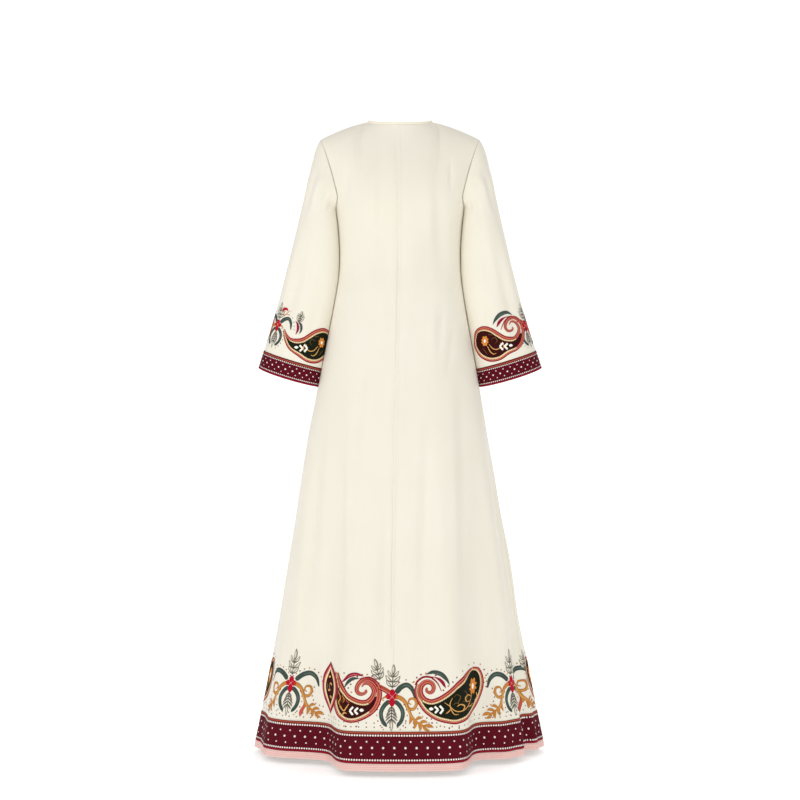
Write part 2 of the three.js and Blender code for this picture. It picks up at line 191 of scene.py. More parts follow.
# A cubic between two values with the given slopes at its ends.
def hermite(start, startSlope, end, endSlope, t):
    rise = t * t * (3 - 2 * t)
    return start * (1 - rise) + end * rise + startSlope * t * (1 - t) ** 2 - endSlope * t * t * (1 - t)


# A smooth curve through points y at rising x, straight past its ends.
def through(x, y, at):
    slope = np.gradient(y, x)
    slope[1:-1] = (y[2:] - y[:-2]) / (x[2:] - x[:-2])
    at = np.asarray(at, float)
    i = np.clip(np.searchsorted(x, at, side="right") - 1, 0, len(x) - 2)
    span = x[i + 1] - x[i]
    t = np.clip((at - x[i]) / span, 0, 1)
    inside = hermite(y[i], slope[i] * span, y[i + 1], slope[i + 1] * span, t)
    return inside + slope[0] * np.minimum(at - x[0], 0) + slope[-1] * np.maximum(at - x[-1], 0)


# A table's column, read along a smooth curve through its rows.
def smooth(rows, key, column, at):
    return through(rows[key], rows[column], at)


# Vectors divided by their lengths.
def unit(vectors):
    return vectors / np.maximum(np.linalg.norm(vectors, axis=-1, keepdims=True), 1e-9)


# An angle less its whole turns, between -180 and 180.
def wrapped(angle):
    return angle - 360 * np.round(angle / 360)


# A value's share of the way from a start to an end, kept between 0 and 1.
def ramp(value, start, end):
    return np.clip((value - start) / (end - start), 0, 1)


# The same with soft ends: three squares less two cubes of the share.
def eased(value, start, end):
    t = ramp(value, start, end)
    return t * t * (3 - 2 * t)


# The running length along a line of points or of complex places.
def runAlong(line):
    steps = np.diff(line, axis=0)
    lengths = np.abs(steps) if np.iscomplexobj(steps) else np.linalg.norm(steps, axis=1)
    return np.concatenate([[0], np.cumsum(lengths)])


# The signed angle, whether it lies on the back, and how far it is from the middle of back or front.
def sidesOf(angle):
    turned = wrapped(np.asarray(angle, float))
    isBack = np.abs(turned) <= 90
    return turned, isBack, np.where(isBack, np.abs(turned), 180 - np.abs(turned))


# The folds' lift: for each fold, its height times a fade up the skirt times a soft-edged plateau.
def foldLift(angle, z):
    lift = np.zeros(np.broadcast(angle, z).shape)
    for fold in skirtFolds:
        fade = ramp(z, fold["top"], garment["hemZ"])
        middle = (fold["start"] + fold["end"]) / 2
        out = wrapped(angle - middle)
        low = fold["start"] - middle + fold["openStart"] * (1 - fade)
        high = fold["end"] - middle + fold["openEnd"] * (1 - fade)
        edge = fold["edge"] + garment["foldSoftening"] * (1 - fade)
        plateau = (np.tanh((out - low) / edge) - np.tanh((out - high) / edge)) / 2
        lift += fold["height"] * fade ** garment["foldFade"] * plateau
    return lift


# A section below the underarm: an ellipse, a little squared, moved out by the folds.
def sectionPoint(seamAngle, z):
    seamAngle, z = np.broadcast_arrays(np.asarray(seamAngle, float), np.asarray(z, float))
    at = {name: smooth(bodySections, "z", name, z) for name in bodySections.dtype.names[1:]}
    angle = seamAngle + at["turn"]
    sin, cos = np.sin(np.radians(angle)), np.cos(np.radians(angle))
    depth = np.where(cos > 0, at["back"], at["front"])
    square = 1 + garment["squareness"] * (2 * sin * cos) ** 2
    outward = unit(np.stack([sin * depth, cos * at["halfWidth"], 0 * z], -1))
    flat = np.stack([sin * at["halfWidth"] * square + at["drift"], cos * depth * square, z], -1)
    return flat + outward * foldLift(angle, z)[..., None]


# The neckline, a quarter ellipse each way from its middle, and the shoulder seam out to its tip.
def topPoint(angle):
    turned, isBack, out = sidesOf(angle)
    side = np.where(turned < 0, -1, 1)
    pointY, pointZ = garment["neckPoint"]
    middleY, middleZ = [
        np.where(isBack, back, front) for back, front in zip(garment["nape"], garment["frontNeck"])
    ]
    tipX, tipZ = garment["shoulderTip"]
    bend = np.radians(90 * ramp(out, 0, garment["neckAngle"]))
    along = (out - garment["neckAngle"]) / (garment["armholeAngle"] - garment["neckAngle"])
    along = np.maximum(along, 0)
    onNeck = out <= garment["neckAngle"]
    half = garment["neckHalf"]
    x = np.where(onNeck, half * np.sin(bend), half + (tipX - half) * along)
    y = np.where(onNeck, pointY + (middleY - pointY) * np.cos(bend), pointY * (1 - along))
    z = np.where(
        onNeck,
        pointZ + (middleZ - pointZ) * np.cos(bend),
        pointZ + (tipZ - pointZ) * along ** garment["shoulderSlope"],
    )
    return np.stack([side * x, y, z], -1)


# The body's outer face: sections up to the underarm (level 1), then a cubic to the top line (level 2).
def bodyPoint(angle, level):
    angle, level = np.broadcast_arrays(np.asarray(angle, float), np.asarray(level, float))
    hemZ, underarmZ = garment["hemZ"], garment["underarmZ"]
    lower = sectionPoint(angle, hemZ + (underarmZ - hemZ) * np.minimum(level, 1))
    turned, isBack, out = sidesOf(angle)
    low = sectionPoint(angle, underarmZ)
    high = topPoint(angle)
    rise = high[..., 2] - low[..., 2]
    lowSlope = (low - sectionPoint(angle, underarmZ - 1)) * (rise * garment["columnSwell"])[..., None]
    up = np.where(isBack, smooth(topLean, "out", "backUp", out), smooth(topLean, "out", "frontUp", out))
    highSlope = np.stack([
        -np.sign(turned) * smooth(topLean, "out", "inward", out),
        (high[..., 1] - low[..., 1]) * smooth(topLean, "out", "over", out),
        rise * up,
    ], -1)
    upper = hermite(low, lowSlope, high, highSlope, np.clip(level - 1, 0, 1)[..., None])
    return np.where((level <= 1)[..., None], lower, upper)


# The body's outward direction: small steps up and round it, multiplied crosswise.
def bodyNormal(angle, level):
    angle, level = np.broadcast_arrays(np.asarray(angle, float), np.asarray(level, float))
    around = bodyPoint(angle + smallStep, level) - bodyPoint(angle - smallStep, level)
    up = bodyPoint(angle, level) - bodyPoint(angle, level - smallStep)
    return unit(np.cross(up, around))


# The sum of all creases: each is its depth times a bell across its line and a fade along it, a sine
# squared.
def creaseDepth(rows, u, v):
    names = rows.dtype.names
    end = garment["creaseEnd"]
    depth = np.zeros(u.shape)
    for row in rows:
        u0, v0, u1, v1 = [row[name] for name in names[:4]]
        du, dv = u1 - u0, v1 - v0
        length = math.hypot(du, dv)
        along = ((u - u0) * du + (v - v0) * dv) / length ** 2
        across = ((u - u0) * dv - (v - v0) * du) / length
        fade = np.sin(np.pi * np.clip(end + along * (1 - 2 * end), 0, 1)) ** 2
        depth += row["depth"] * fade * np.exp(-(across / row["width"]) ** 2)
    return depth


# Ripples are waves of these lengths across and along the cloth and of these heights, in mm.
waves = {"count": 7, "across": (60, 150), "along": (260, 700), "height": (0.15, 0.45)}


# Long shallow ripples that keep the cloth from lying evenly: a few slanted sines of u and v.
def ripples(u, v, seed):
    chance = np.random.default_rng(seed)
    total = np.zeros(u.shape)
    for _ in range(waves["count"]):
        across, along = chance.uniform(*waves["across"]), chance.uniform(*waves["along"])
        shift = chance.uniform(0, 2 * np.pi)
        total += chance.uniform(*waves["height"]) * np.sin(2 * np.pi * (u / across + v / along) + shift)
    return total


# The level of a height: 0 at the hem, 1 at the underarm.
def levelOf(z):
    return (z - garment["hemZ"]) / (garment["underarmZ"] - garment["hemZ"])


# How far round a panel reaches at a level: to the side seam, then in round the armhole.
def reach(level):
    scoop = 1 - ramp(np.asarray(level, float) - 1, 0, garment["armholeScoop"])
    return 1 - (90 - garment["armholeAngle"]) / 90 * np.sqrt(1 - scoop ** 2)


# Levels from the underarm up the armhole, evenly round its scoop between two angles from its lowest point.
def scoopLevels(start, end, count):
    return 1 + garment["armholeScoop"] * (1 - np.sin(np.radians(np.linspace(start, end, count))))


# Lengths in mm; a strip is given by where it starts and ends across its seam and how deep it lies.
seams = {
    "ditch": 0.6, "ditchWidth": 2.6, "ridge": 0.9, "ridgeWidth": 2.4, "groove": 1.6, "grooveAt": 5.0,
    "grooveWidth": 3.6, "within": 20, "fromArmhole": 14, "border": (-1230, -1170),
    "straightStrip": (-6, 6, 2.1), "armholeStrip": (-2.4, 7, 2.5), "stripThickness": 0.4,
    "stripColumns": 5, "stripRows": 150, "stripAboveBand": 3, "stripTop": 1.985,
}


# The pressed centre-back seam: a low ridge on it and a groove to the wearer's left of it, each a bell
# across the seam, and both fade at the border.
def centreSeam(angle, z):
    width = smooth(bodySections, "z", "halfWidth", np.minimum(z, garment["underarmZ"]))
    away = np.sin(np.radians(angle)) * width
    ridge = seams["ridge"] * np.exp(-(away / seams["ridgeWidth"]) ** 2)
    groove = seams["groove"] * np.exp(-((away - seams["grooveAt"]) / seams["grooveWidth"]) ** 2)
    return (ridge - groove) * (np.abs(angle) < seams["within"]) * eased(z, *seams["border"])


# Where creases fade: at the side and the hem in mm, below the top line in levels, over the armhole's
# levels, and under the sleeve between two angles from the middle and above two heights.
fades = {
    "side": 25, "hem": (-60, 30), "top": 0.12, "rippleTop": 0.3, "seamTop": 0.03, "armhole": (0.97, 1),
    "underSleeve": (52, 70), "sleeveEnd": (-720, -650), "mmToDegree": 2.6,
}
bodySeed = 7


# The worn cloth: the body's face with its creases and ripples along its outward direction. They fade at
# the armhole, whose seam lies in a ditch, and where the sleeve hangs against the side.
def clothPoint(angle, level, lift=0.0):
    point, normal = bodyPoint(angle, level), bodyNormal(angle, level)
    x, y, z = np.moveaxis(point, -1, 0)
    turned, isBack, out = sidesOf(np.broadcast_to(angle, z.shape))
    level = np.broadcast_to(level, z.shape)
    fromTop = 2 - level
    edge = ramp(np.abs(y), 0, fades["side"]) * ramp(fromTop, 0, fades["top"])
    depth = np.where(isBack, creaseDepth(backCreases, x, z), creaseDepth(frontCreases, x, z)) * edge
    depth = depth * ramp(z - garment["hemZ"], *fades["hem"])
    depth = depth + ripples(x, z, bodySeed) * ramp(fromTop, 0, fades["rippleTop"])
    toArmhole = np.maximum(90 * reach(level) - out, 0) * fades["mmToDegree"]
    isAtArmhole = eased(level, *fades["armhole"])
    depth = depth * (1 - isAtArmhole * (1 - eased(toArmhole, 0, seams["fromArmhole"])))
    underSleeve = eased(out, *fades["underSleeve"]) * eased(z, *fades["sleeveEnd"])
    depth = depth * (1 - underSleeve * (1 - isAtArmhole))
    depth = depth - isAtArmhole * seams["ditch"] * np.exp(-(toArmhole / seams["ditchWidth"]) ** 2)
    depth = depth + centreSeam(turned, z) * ramp(fromTop, 0, fades["seamTop"])
    return point + normal * (depth + lift)[..., None]


# Angles that cut the hem between two angles into steps of like length.
def evenAngles(start, end, count):
    fine = np.linspace(start, end, 1200)
    run = runAlong(sectionPoint(fine, garment["hemZ"]))
    return np.interp(np.linspace(0, run[-1], count + 1), run, fine)


# The four corners of each face on a grid of points, rows by columns.
def gridFaces(rows, columns, isRound=False):
    j, i = np.meshgrid(np.arange(rows - 1), np.arange(columns if isRound else columns - 1), indexing="ij")
    following = (i + 1) % columns
    corners = [j * columns + i, j * columns + following, (j + 1) * columns + following, (j + 1) * columns + i]
    return np.stack(corners, -1).reshape(-1, 4)


# A mesh from a grid of points in mm, rows by columns, with a cloth UV in metres.
# A round grid joins its last column to its first.
def makeGrid(name, points, uv, isRound=False):
    faces = gridFaces(*points.shape[:2], isRound)
    return makeMesh(name, points.reshape(-1, 3), faces, uv.reshape(-1, 2))


# A mesh from points in mm and faces of equally many corners, shaded smooth.
def makeMesh(name, points, faces, uv=None):
    mesh = bpy.data.meshes.new(name)
    mesh.vertices.add(len(points))
    mesh.vertices.foreach_set("co", (points * mm).ravel())
    mesh.loops.add(faces.size)
    mesh.loops.foreach_set("vertex_index", faces.ravel().astype(np.int32))
    mesh.polygons.add(len(faces))
    mesh.polygons.foreach_set("loop_start", np.arange(0, faces.size, faces.shape[1], dtype=np.int32))
    mesh.polygons.foreach_set("use_smooth", np.ones(len(faces), bool))
    if uv is not None:
        layer = mesh.uv_layers.new(name="cloth")
        layer.uv.foreach_set("vector", (uv[faces.ravel()] * mm).ravel())
    mesh.update(calc_edges=True)
    mesh.validate()
    return addObject(name, mesh)


# An object at the origin, in the scene.
def addObject(name, data):
    thing = bpy.data.objects.new(name, data)
    bpy.context.scene.collection.objects.link(thing)
    return thing


# Gives a sheet its wall: inwards from its face, or half to each side with an offset of 0.
def thicken(piece, thickness, offset=-1):
    wall = piece.modifiers.new("wall", "SOLIDIFY")
    wall.thickness = thickness * mm
    wall.offset = offset
    wall.use_even_offset = False


# Gives a piece its material and its body.
def finishPiece(piece, finish):
    piece.data.materials.append(finish)
    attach(piece, "root")


# The same for a piece of cloth, hiding the nodes that it stands for. Its slot is not used.
def dress(piece, finish, slot, *nodes):
    finishPiece(piece, finish)
    if nodes:
        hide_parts(*nodes)
    return piece


print("materials")


# A colour's sRGB hex value, as linear red, green, blue and a full alpha.
def linear(hexColour):
    channels = [int(hexColour[i:i + 2], 16) / 255 for i in (1, 3, 5)]
    return [c / 12.92 if c <= 0.04045 else ((c + 0.055) / 1.055) ** 2.4 for c in channels] + [1]


# Adds a node, sets its properties and sockets, and links sockets given as (node, output).
def addNode(tree, kind, properties=None, **sockets):
    node = tree.nodes.new(kind)
    for name, value in (properties or {}).items():
        setattr(node, name, value)
    for name, value in sockets.items():
        socket = node.inputs[int(name[1:])] if name[0] == "_" else node.inputs[name.replace("_", " ")]
        if isinstance(value, tuple):
            tree.links.new(value[0].outputs[value[1]], socket)
        else:
            socket.default_value = value
    return node


yarnHeight = 0.3  # mm that the bump stands out


# Woven cloth: a soft blotchy colour between two shades, a pebbled weave and slight slubs in the bump.
def clothFinish(name, look):
    material = bpy.data.materials.new(name)
    material.use_nodes = True
    tree = material.node_tree
    tree.nodes.clear()
    scale = {size: 1 / (look[size] * mm) for size in ("blotch", "yarn", "pebble")}
    place = addNode(tree, "ShaderNodeTexCoord")
    blotch = addNode(tree, "ShaderNodeTexNoise", Vector=(place, "Object"), Scale=scale["blotch"], Detail=3.0)
    shade = addNode(
        tree, "ShaderNodeMix", {"data_type": "RGBA"},
        _0=(blotch, "Fac"), _6=linear(look["colour"]), _7=linear(look["shade"]),
    )
    stretch = addNode(tree, "ShaderNodeMapping", Vector=(place, "UV"), Scale=[1, look["slub"], 1])
    yarn = addNode(tree, "ShaderNodeTexNoise", Vector=(stretch, "Vector"), Scale=scale["yarn"], Detail=2.0)
    pebble = addNode(tree, "ShaderNodeTexVoronoi", Vector=(place, "UV"), Scale=scale["pebble"])
    relief = addNode(
        tree, "ShaderNodeMath", {"operation": "ADD"}, _0=(yarn, "Fac"), _1=(pebble, "Distance"),
    )
    bump = addNode(
        tree, "ShaderNodeBump", Height=(relief, "Value"), Strength=look["relief"], Distance=yarnHeight * mm,
    )
    shader = addNode(
        tree, "ShaderNodeBsdfPrincipled", Base_Color=(shade, 2), Normal=(bump, "Normal"),
        Specular_IOR_Level=look["gloss"], Roughness=look["roughness"], Sheen_Weight=look["sheen"],
        Sheen_Roughness=0.5,
    )
    addNode(tree, "ShaderNodeOutputMaterial", Surface=(shader, "BSDF"))
    return material


# Crepe: crimped yarns give a dry, finely pebbled face with a low soft sheen. Its yarns are 0.3 mm
# apart, too fine to show, so they are drawn about 1.5 mm apart.
creamCrepe = clothFinish("creamCrepe", {
    "colour": "#F3EEE1", "shade": "#ECE6D4", "blotch": 160, "yarn": 1.5, "slub": 0.35, "pebble": 1.8,
    "relief": 0.25, "roughness": 0.72, "sheen": 0.25, "gloss": 0.3,
})
# Close plain weave, dyed deep: darker, with the yarns drawn 1.2 mm apart.
burgundyWeave = clothFinish("burgundyWeave", {
    "colour": "#640F20", "shade": "#4F0A18", "blotch": 60, "yarn": 1.2, "slub": 0.5, "pebble": 1.5,
    "relief": 0.3, "roughness": 0.75, "sheen": 0.0, "gloss": 0.08,
})
# Satin: long floats catch the light along the strip.
blushSatin = clothFinish("blushSatin", {
    "colour": "#F6D5CD", "shade": "#EDC4BB", "blotch": 40, "yarn": 2.4, "slub": 0.12, "pebble": 2.5,
    "relief": 0.15, "roughness": 0.45, "sheen": 0.2, "gloss": 0.4,
})
# Bias-cut cotton for the narrow binding, a little brighter than the crepe.
creamBias = clothFinish("creamBias", {
    "colour": "#FBF5E4", "shade": "#F3EAD2", "blotch": 60, "yarn": 1.2, "slub": 0.6, "pebble": 1.4,
    "relief": 0.2, "roughness": 0.75, "sheen": 0.2, "gloss": 0.3,
})

print("body")

# Rows and columns of the panels: a share of the columns lies inside the neck point, and a few more stand
# beside the centre-back seam, at these angles from it. Lifts are in mm.
body = {
    "columnsBack": 116, "columnsFront": 88, "columnsHemBack": 230, "columnsHemFront": 190,
    "rowsSkirt": 176, "rowsTop": 60, "rowsScoop": 12, "scoopStart": 82, "innerShare": 0.44,
    "seamHalf": 0.008, "seamSteps": (0.3, 0.65, 1.1, 1.6, 2.2, 2.8, 3.5, 4.3),
    "rowsBand": 14, "rowsBinding": 6, "bandLift": 0.3, "bindingLift": 0.1,
}
hemBandZ = garment["hemZ"] + garment["hemBinding"]
panelZ = hemBandZ + garment["hemBand"]


# A panel of the body: columns at the given angles, drawn in round the armhole, on rows of levels.
def bodyPanel(node, angles, levels, middle, finish, slot, lift=0.0):
    turn = middle + (angles[None, :] - middle) * reach(levels)[:, None]
    points = clothPoint(turn, np.broadcast_to(levels[:, None], turn.shape), lift)
    run = runAlong(sectionPoint(angles, garment["hemZ"]))
    uv = np.stack([np.broadcast_to(run, turn.shape), points[..., 2]], -1)
    piece = makeGrid(f"{node}_cloth", points[:, ::-1], uv[:, ::-1])
    thicken(piece, garment["thickness"])
    dress(piece, finish, slot, node)


# Levels of a panel: even below the underarm and closer above, with a row at every step of the scoop.
def panelLevels(low):
    skirt = np.linspace(levelOf(low), 1, body["rowsSkirt"])
    scoop = scoopLevels(body["scoopStart"], 0, body["rowsScoop"])
    top = np.linspace(1 + garment["armholeScoop"], 2, body["rowsTop"])
    return np.concatenate([skirt, scoop[:-1], top])


# Columns from the middle of the back or front to a side seam, with one at the neck point and closer
# ones where a seam runs down the middle.
def quarterAngles(middle, side, count, seamSteps=()):
    share = garment["neckAngle"] / garment["armholeAngle"]
    neckColumn = middle + (side - middle) * share
    inner = int(count * body["innerShare"])
    way = (side - middle) / abs(side - middle)
    close = middle + way * np.array([body["seamHalf"], *seamSteps])
    return np.concatenate([
        close[:-1],
        evenAngles(close[-1], neckColumn, inner),
        evenAngles(neckColumn, side - way * body["seamHalf"], count - inner)[1:],
    ])


# Columns round the whole front, from the wearer's left to their right.
def frontAngles(count):
    return np.concatenate([quarterAngles(180, 90, count)[::-1], quarterAngles(180, 270, count)[1:]])


levels = panelLevels(panelZ)
for node, angles, middle in [
    ("back_left", quarterAngles(0, 90, body["columnsBack"], body["seamSteps"]), 0),
    ("back_right", quarterAngles(0, -90, body["columnsBack"], body["seamSteps"])[::-1], 0),
    ("front", frontAngles(body["columnsFront"]), 180),
]:
    bodyPanel(node, angles, levels, middle, creamCrepe, "cream_crepe")

print("hem")

bandLevels = np.linspace(levelOf(hemBandZ), levelOf(panelZ), body["rowsBand"])
bindingLevels = np.linspace(levelOf(garment["hemZ"]), levelOf(hemBandZ), body["rowsBinding"])
hemBack = [quarterAngles(0, way * 90, body["columnsHemBack"]) for way in (-1, 1)]
for part, angles, middle in [
    ("back", np.concatenate([hemBack[0][:0:-1], hemBack[1]]), 0),
    ("front", frontAngles(body["columnsHemFront"]), 180),
]:
    bodyPanel(
        f"hem_band_{part}", angles, bandLevels, middle, burgundyWeave, "burgundy_band", body["bandLift"],
    )
    bodyPanel(
        f"hem_binding_{part}", angles, bindingLevels, middle, blushSatin, "blush_binding",
        body["bindingLift"],
    )

print("sleeves")

# Lengths are in mm and fades in steps down the sections. The sleeve lies against the body within a part of
# a turn from the underarm.
sleeve = {
    "columns": 120, "rows": 110, "rowsTop": 14, "topSteps": 0.6, "rowsBand": 12, "bandLift": 0.3,
    "armholeScoop": 15, "armholeStraight": 40,
    "seamGap": 0.25, "gapSlope": -0.2, "clearance": 1.7, "growth": 0.5, "capSlope": -0.45,
    "capRoundness": 0.4, "halfGirth": 55 * math.pi, "stepLength": 62, "clothTurn": 170,
    "creaseStart": 0.4, "creaseEnd": (7.6, 6.7), "rippleStart": 0.5, "rippleShare": 0.8, "rippleReach": 40,
    "against": (0.28, 0.18), "droop": 8, "droopSteps": (3, 8), "seeds": {1: 11, -1: 12},
}
sides = {1: "left", -1: "right"}


# The armhole's line: down the back edge from the shoulder, then up the front edge, as angles and levels.
def armholeLine(side):
    straight = np.linspace(1 + garment["armholeScoop"], 2, sleeve["armholeStraight"])
    levels = np.concatenate([scoopLevels(90, 6, sleeve["armholeScoop"]), straight])
    turn = 90 * reach(levels)
    angle = np.concatenate([turn[::-1], 180 - turn[1:-1], turn[-1:]])
    return side * angle, np.concatenate([levels[::-1], levels[1:-1], levels[-1:]])


# The armhole as a loop of points, with each one's share of the way: 0 on top, 1 underneath, 2 on top again.
def armholeLoop(side):
    closed = bodyPoint(*armholeLine(side))
    run = runAlong(closed)
    under = run[len(run) // 2]
    share = np.where(run <= under, run / under, 1 + (run - under) / (run[-1] - under))
    return closed, share


# Points that would lie inside the body's skin, moved out along their own direction to stand clear of it.
def clearOfBody(points, clearance):
    z = np.minimum(points[..., 2], garment["underarmZ"])
    at = {name: smooth(bodySections, "z", name, z) for name in bodySections.dtype.names[1:5]}
    x, y = points[..., 0] - at["drift"], points[..., 1]
    across = at["halfWidth"] + clearance
    deep = np.where(y > 0, at["back"], at["front"]) + clearance
    bearing = np.arctan2(x / across, y / deep)
    square = 1 + garment["squareness"] * np.sin(2 * bearing) ** 2
    share = np.minimum(np.hypot(x / across, y / deep) / square, 1)[..., None]
    centre = np.stack([at["drift"], 0 * y, 0 * z], -1)
    flat = points * np.array([1, 1, 0])
    return centre + (flat - centre) / share + points * np.array([0, 0, 1])


# The sleeve at a turn (0 on top, 1 at the underarm, 2 back on top) and a step down its sections:
# a smooth curve from the armhole through the ends of each section's ellipse.
def sleevePoint(side, turn, step):
    turn, step = np.broadcast_arrays(np.asarray(turn, float), np.asarray(step, float))
    loop, share = armholeLoop(side)
    wrappedTurn = np.mod(turn, 2)
    start = np.stack([np.interp(wrappedTurn, share, loop[:, k]) for k in range(3)], -1)
    start = start + unit(np.array([side, 0, sleeve["gapSlope"]])) * sleeve["seamGap"]
    top = (1 + np.cos(np.pi * turn)) / 2
    points = np.stack([start] + [
        np.stack([
            side * (row["innerX"] + (row["outerX"] - row["innerX"]) * top),
            row["middleY"] + row["depth"] * np.sin(np.pi * turn),
            row["innerZ"] + (row["outerZ"] - row["innerZ"]) * top,
        ], -1) for row in sleeveSections
    ])
    straight = points[1] - points[0]
    rounded = unit(np.array([side, 0, sleeve["capSlope"]])) * np.linalg.norm(straight, axis=-1, keepdims=True)
    slopes = np.empty_like(points)
    slopes[0] = straight + (rounded - straight) * (sleeve["capRoundness"] * top)[..., None]
    slopes[1:-1] = (points[2:] - points[:-2]) / 2
    slopes[-1] = points[-1] - points[-2]
    i = np.clip(np.floor(step).astype(int), 0, bandStep)
    ends = [
        np.take_along_axis(values, k[None, ..., None], 0)[0]
        for k in (i, i + 1) for values in (points, slopes)
    ]
    place = hermite(*ends, (step - i)[..., None])
    growth = np.minimum(step / sleeve["growth"], 1)
    clearance = sleeve["seamGap"] + (sleeve["clearance"] - sleeve["seamGap"]) * growth
    return np.where((step > 0)[..., None], clearOfBody(place, clearance), place)


# The worn sleeve: its face with creases and ripples along its outward direction. They fade at both ends,
# nothing stands out where it hangs against the body, and its edge droops towards the back.
def sleeveCloth(side, turn, step, lift=0.0):
    turn, step = np.broadcast_arrays(np.asarray(turn, float), np.asarray(step, float))
    here = sleevePoint(side, turn, step)
    lower, upper = np.minimum(step + 2 * smallStep, bandStep + 1), np.maximum(step - 2 * smallStep, 0)
    down = sleevePoint(side, turn, lower) - sleevePoint(side, turn, upper)
    around = sleevePoint(side, turn + smallStep, step) - sleevePoint(side, turn - smallStep, step)
    normal = unit(np.cross(down, around) * side)
    scaled = sleeveCreases.copy()
    for end in "01":
        scaled["turn" + end] *= sleeve["halfGirth"]
        scaled["step" + end] *= sleeve["stepLength"]
    signed = np.where(turn > 1, turn - 2, turn) * sleeve["halfGirth"]
    length = step * sleeve["stepLength"]
    depth = creaseDepth(scaled, signed, length)
    depth = depth * ramp(step, 0, sleeve["creaseStart"]) * ramp(step, *sleeve["creaseEnd"])
    waved = ripples(sleeve["rippleReach"] * np.cos(np.pi * turn), length, sleeve["seeds"][side])
    depth = (depth + sleeve["rippleShare"] * waved) * ramp(step, 0, sleeve["rippleStart"])
    depth = depth - seams["ditch"] * np.exp(-(length / seams["ditchWidth"]) ** 2)
    against = ramp(np.abs(turn - 1), *sleeve["against"])
    depth = depth * (1 - against * (depth > 0))
    droop = sleeve["droop"] * np.sin(np.pi * turn) * ramp(step, *sleeve["droopSteps"]) ** 2
    return here + normal * (depth + lift)[..., None] - droop[..., None] * np.array([0, 0, 1])


bandStep = len(sleeveSections) - 1
turns = np.arange(sleeve["columns"]) / sleeve["columns"] * 2
sleeveSteps = np.concatenate([
    np.linspace(0, sleeve["topSteps"], sleeve["rowsTop"])[:-1],
    np.linspace(sleeve["topSteps"], bandStep, sleeve["rows"]),
])
bandSteps = np.linspace(bandStep, bandStep + 1, sleeve["rowsBand"])
for side, name in sides.items():
    for part, steps, finish, slot, lift in [
        ("sleeve", sleeveSteps, creamCrepe, "cream_crepe", 0.0),
        ("cuff_band", bandSteps, burgundyWeave, "burgundy_band", sleeve["bandLift"]),
    ]:
        turn, step = np.meshgrid(turns, steps)
        points = sleeveCloth(side, turn, step, lift)
        uv = np.stack([turn * sleeve["clothTurn"], -step * sleeve["stepLength"]], -1)
        piece = makeGrid(f"{part}_{name}_cloth", points[:, ::-side], uv[:, ::-side], isRound=True)
        thicken(piece, garment["thickness"])
        dress(piece, finish, slot, f"{part}_{name}")

print("seams")


# The turned-in edge of a seam: a strip inside the cloth, carried along the seam's line. It reaches
# across from one distance to another, both measured towards the given point, at a depth.
def seamStrip(name, line, outward, towards, start, end, depth):
    along = unit(np.gradient(line, axis=0))
    across = np.cross(outward, along)
    across *= np.sign(np.sum(across * (towards - line), -1, keepdims=True))
    steps = np.linspace(start, end, seams["stripColumns"])
    points = (line - outward * depth)[:, None] + across[:, None] * steps[None, :, None]
    uv = np.stack(np.broadcast_arrays(steps[None, :], runAlong(line)[:, None]), -1)
    piece = makeGrid(f"seam_{name}", points, uv)
    thicken(piece, seams["stripThickness"], 0)
    return dress(piece, creamCrepe, "cream_crepe")


farAway = 9000
underneath = np.array([0, 0, -120])
seamLevels = np.linspace(levelOf(panelZ + seams["stripAboveBand"]), seams["stripTop"], seams["stripRows"])
sideLevels = seamLevels[seamLevels < 1]
for name, angle, rows, towards in [
    ("centre_back", 0, seamLevels, (farAway, 0, 0)),
    ("side_left", 90, sideLevels, (0, farAway, 0)),
    ("side_right", -90, sideLevels, (0, farAway, 0)),
]:
    angles = np.full(rows.shape, float(angle))
    seamStrip(
        name, clothPoint(angles, rows), bodyNormal(angles, rows), np.array(towards), *seams["straightStrip"],
    )
for side, name in sides.items():
    line, outward = bodyPoint(*armholeLine(side)), bodyNormal(*armholeLine(side))
    seamStrip(
        f"armhole_{name}", line, outward, underneath, *seams["armholeStrip"],
    )

print("neck")

# Lengths in mm, and the powers that square up the binding's arched section.
neck = {
    "height": 5, "overlap": 1.2, "half": 1.2, "inside": 0.6, "lean": 0.25, "columns": 160, "fold": 0.45,
    "sectionPoints": 15, "acrossPower": 0.6, "heightPower": 0.45, "mmToDegree": 1.33, "sectionWidth": 4,
}


# The neck binding: a folded strip round the neckline, its section a tall arch open below, carried along it.
def neckBinding():
    bend = np.linspace(0, 360, neck["columns"], endpoint=False)
    turned, isBack, out = sidesOf(bend)
    narrowed = out * garment["neckAngle"] / 90
    line = bodyPoint(np.sign(turned) * np.where(isBack, narrowed, 180 - narrowed), 2.0)
    along = unit(np.roll(line, -1, 0) - np.roll(line, 1, 0))
    inward = unit(np.stack([-line[:, 0], garment["neckPoint"][0] - line[:, 1], 0 * line[:, 0]], -1))
    rise = inward * neck["lean"] + np.array([0, 0, 1])
    rise = unit(rise - along * np.sum(rise * along, -1, keepdims=True))
    outward = np.cross(rise, along)
    outward *= np.sign(np.sum(outward * line * np.array([1, 1, 0]), -1, keepdims=True))
    section = np.linspace(0, np.pi, neck["sectionPoints"])
    arch = np.sign(np.cos(section)) * np.abs(np.cos(section)) ** neck["acrossPower"]
    across = neck["half"] * arch - neck["inside"]
    tall = neck["height"] + neck["overlap"]
    height = tall * np.abs(np.sin(section)) ** neck["heightPower"] - neck["overlap"]
    points = line[None] + rise[None] * height[:, None, None] + outward[None] * across[:, None, None]
    uv = np.stack(np.broadcast_arrays(bend * neck["mmToDegree"], section[:, None] * neck["sectionWidth"]), -1)
    piece = makeGrid("neck_binding_cloth", points, uv, isRound=True)
    thicken(piece, neck["fold"])
    dress(piece, creamBias, "cream_binding", "neck_binding")


neckBinding()

print("charts")


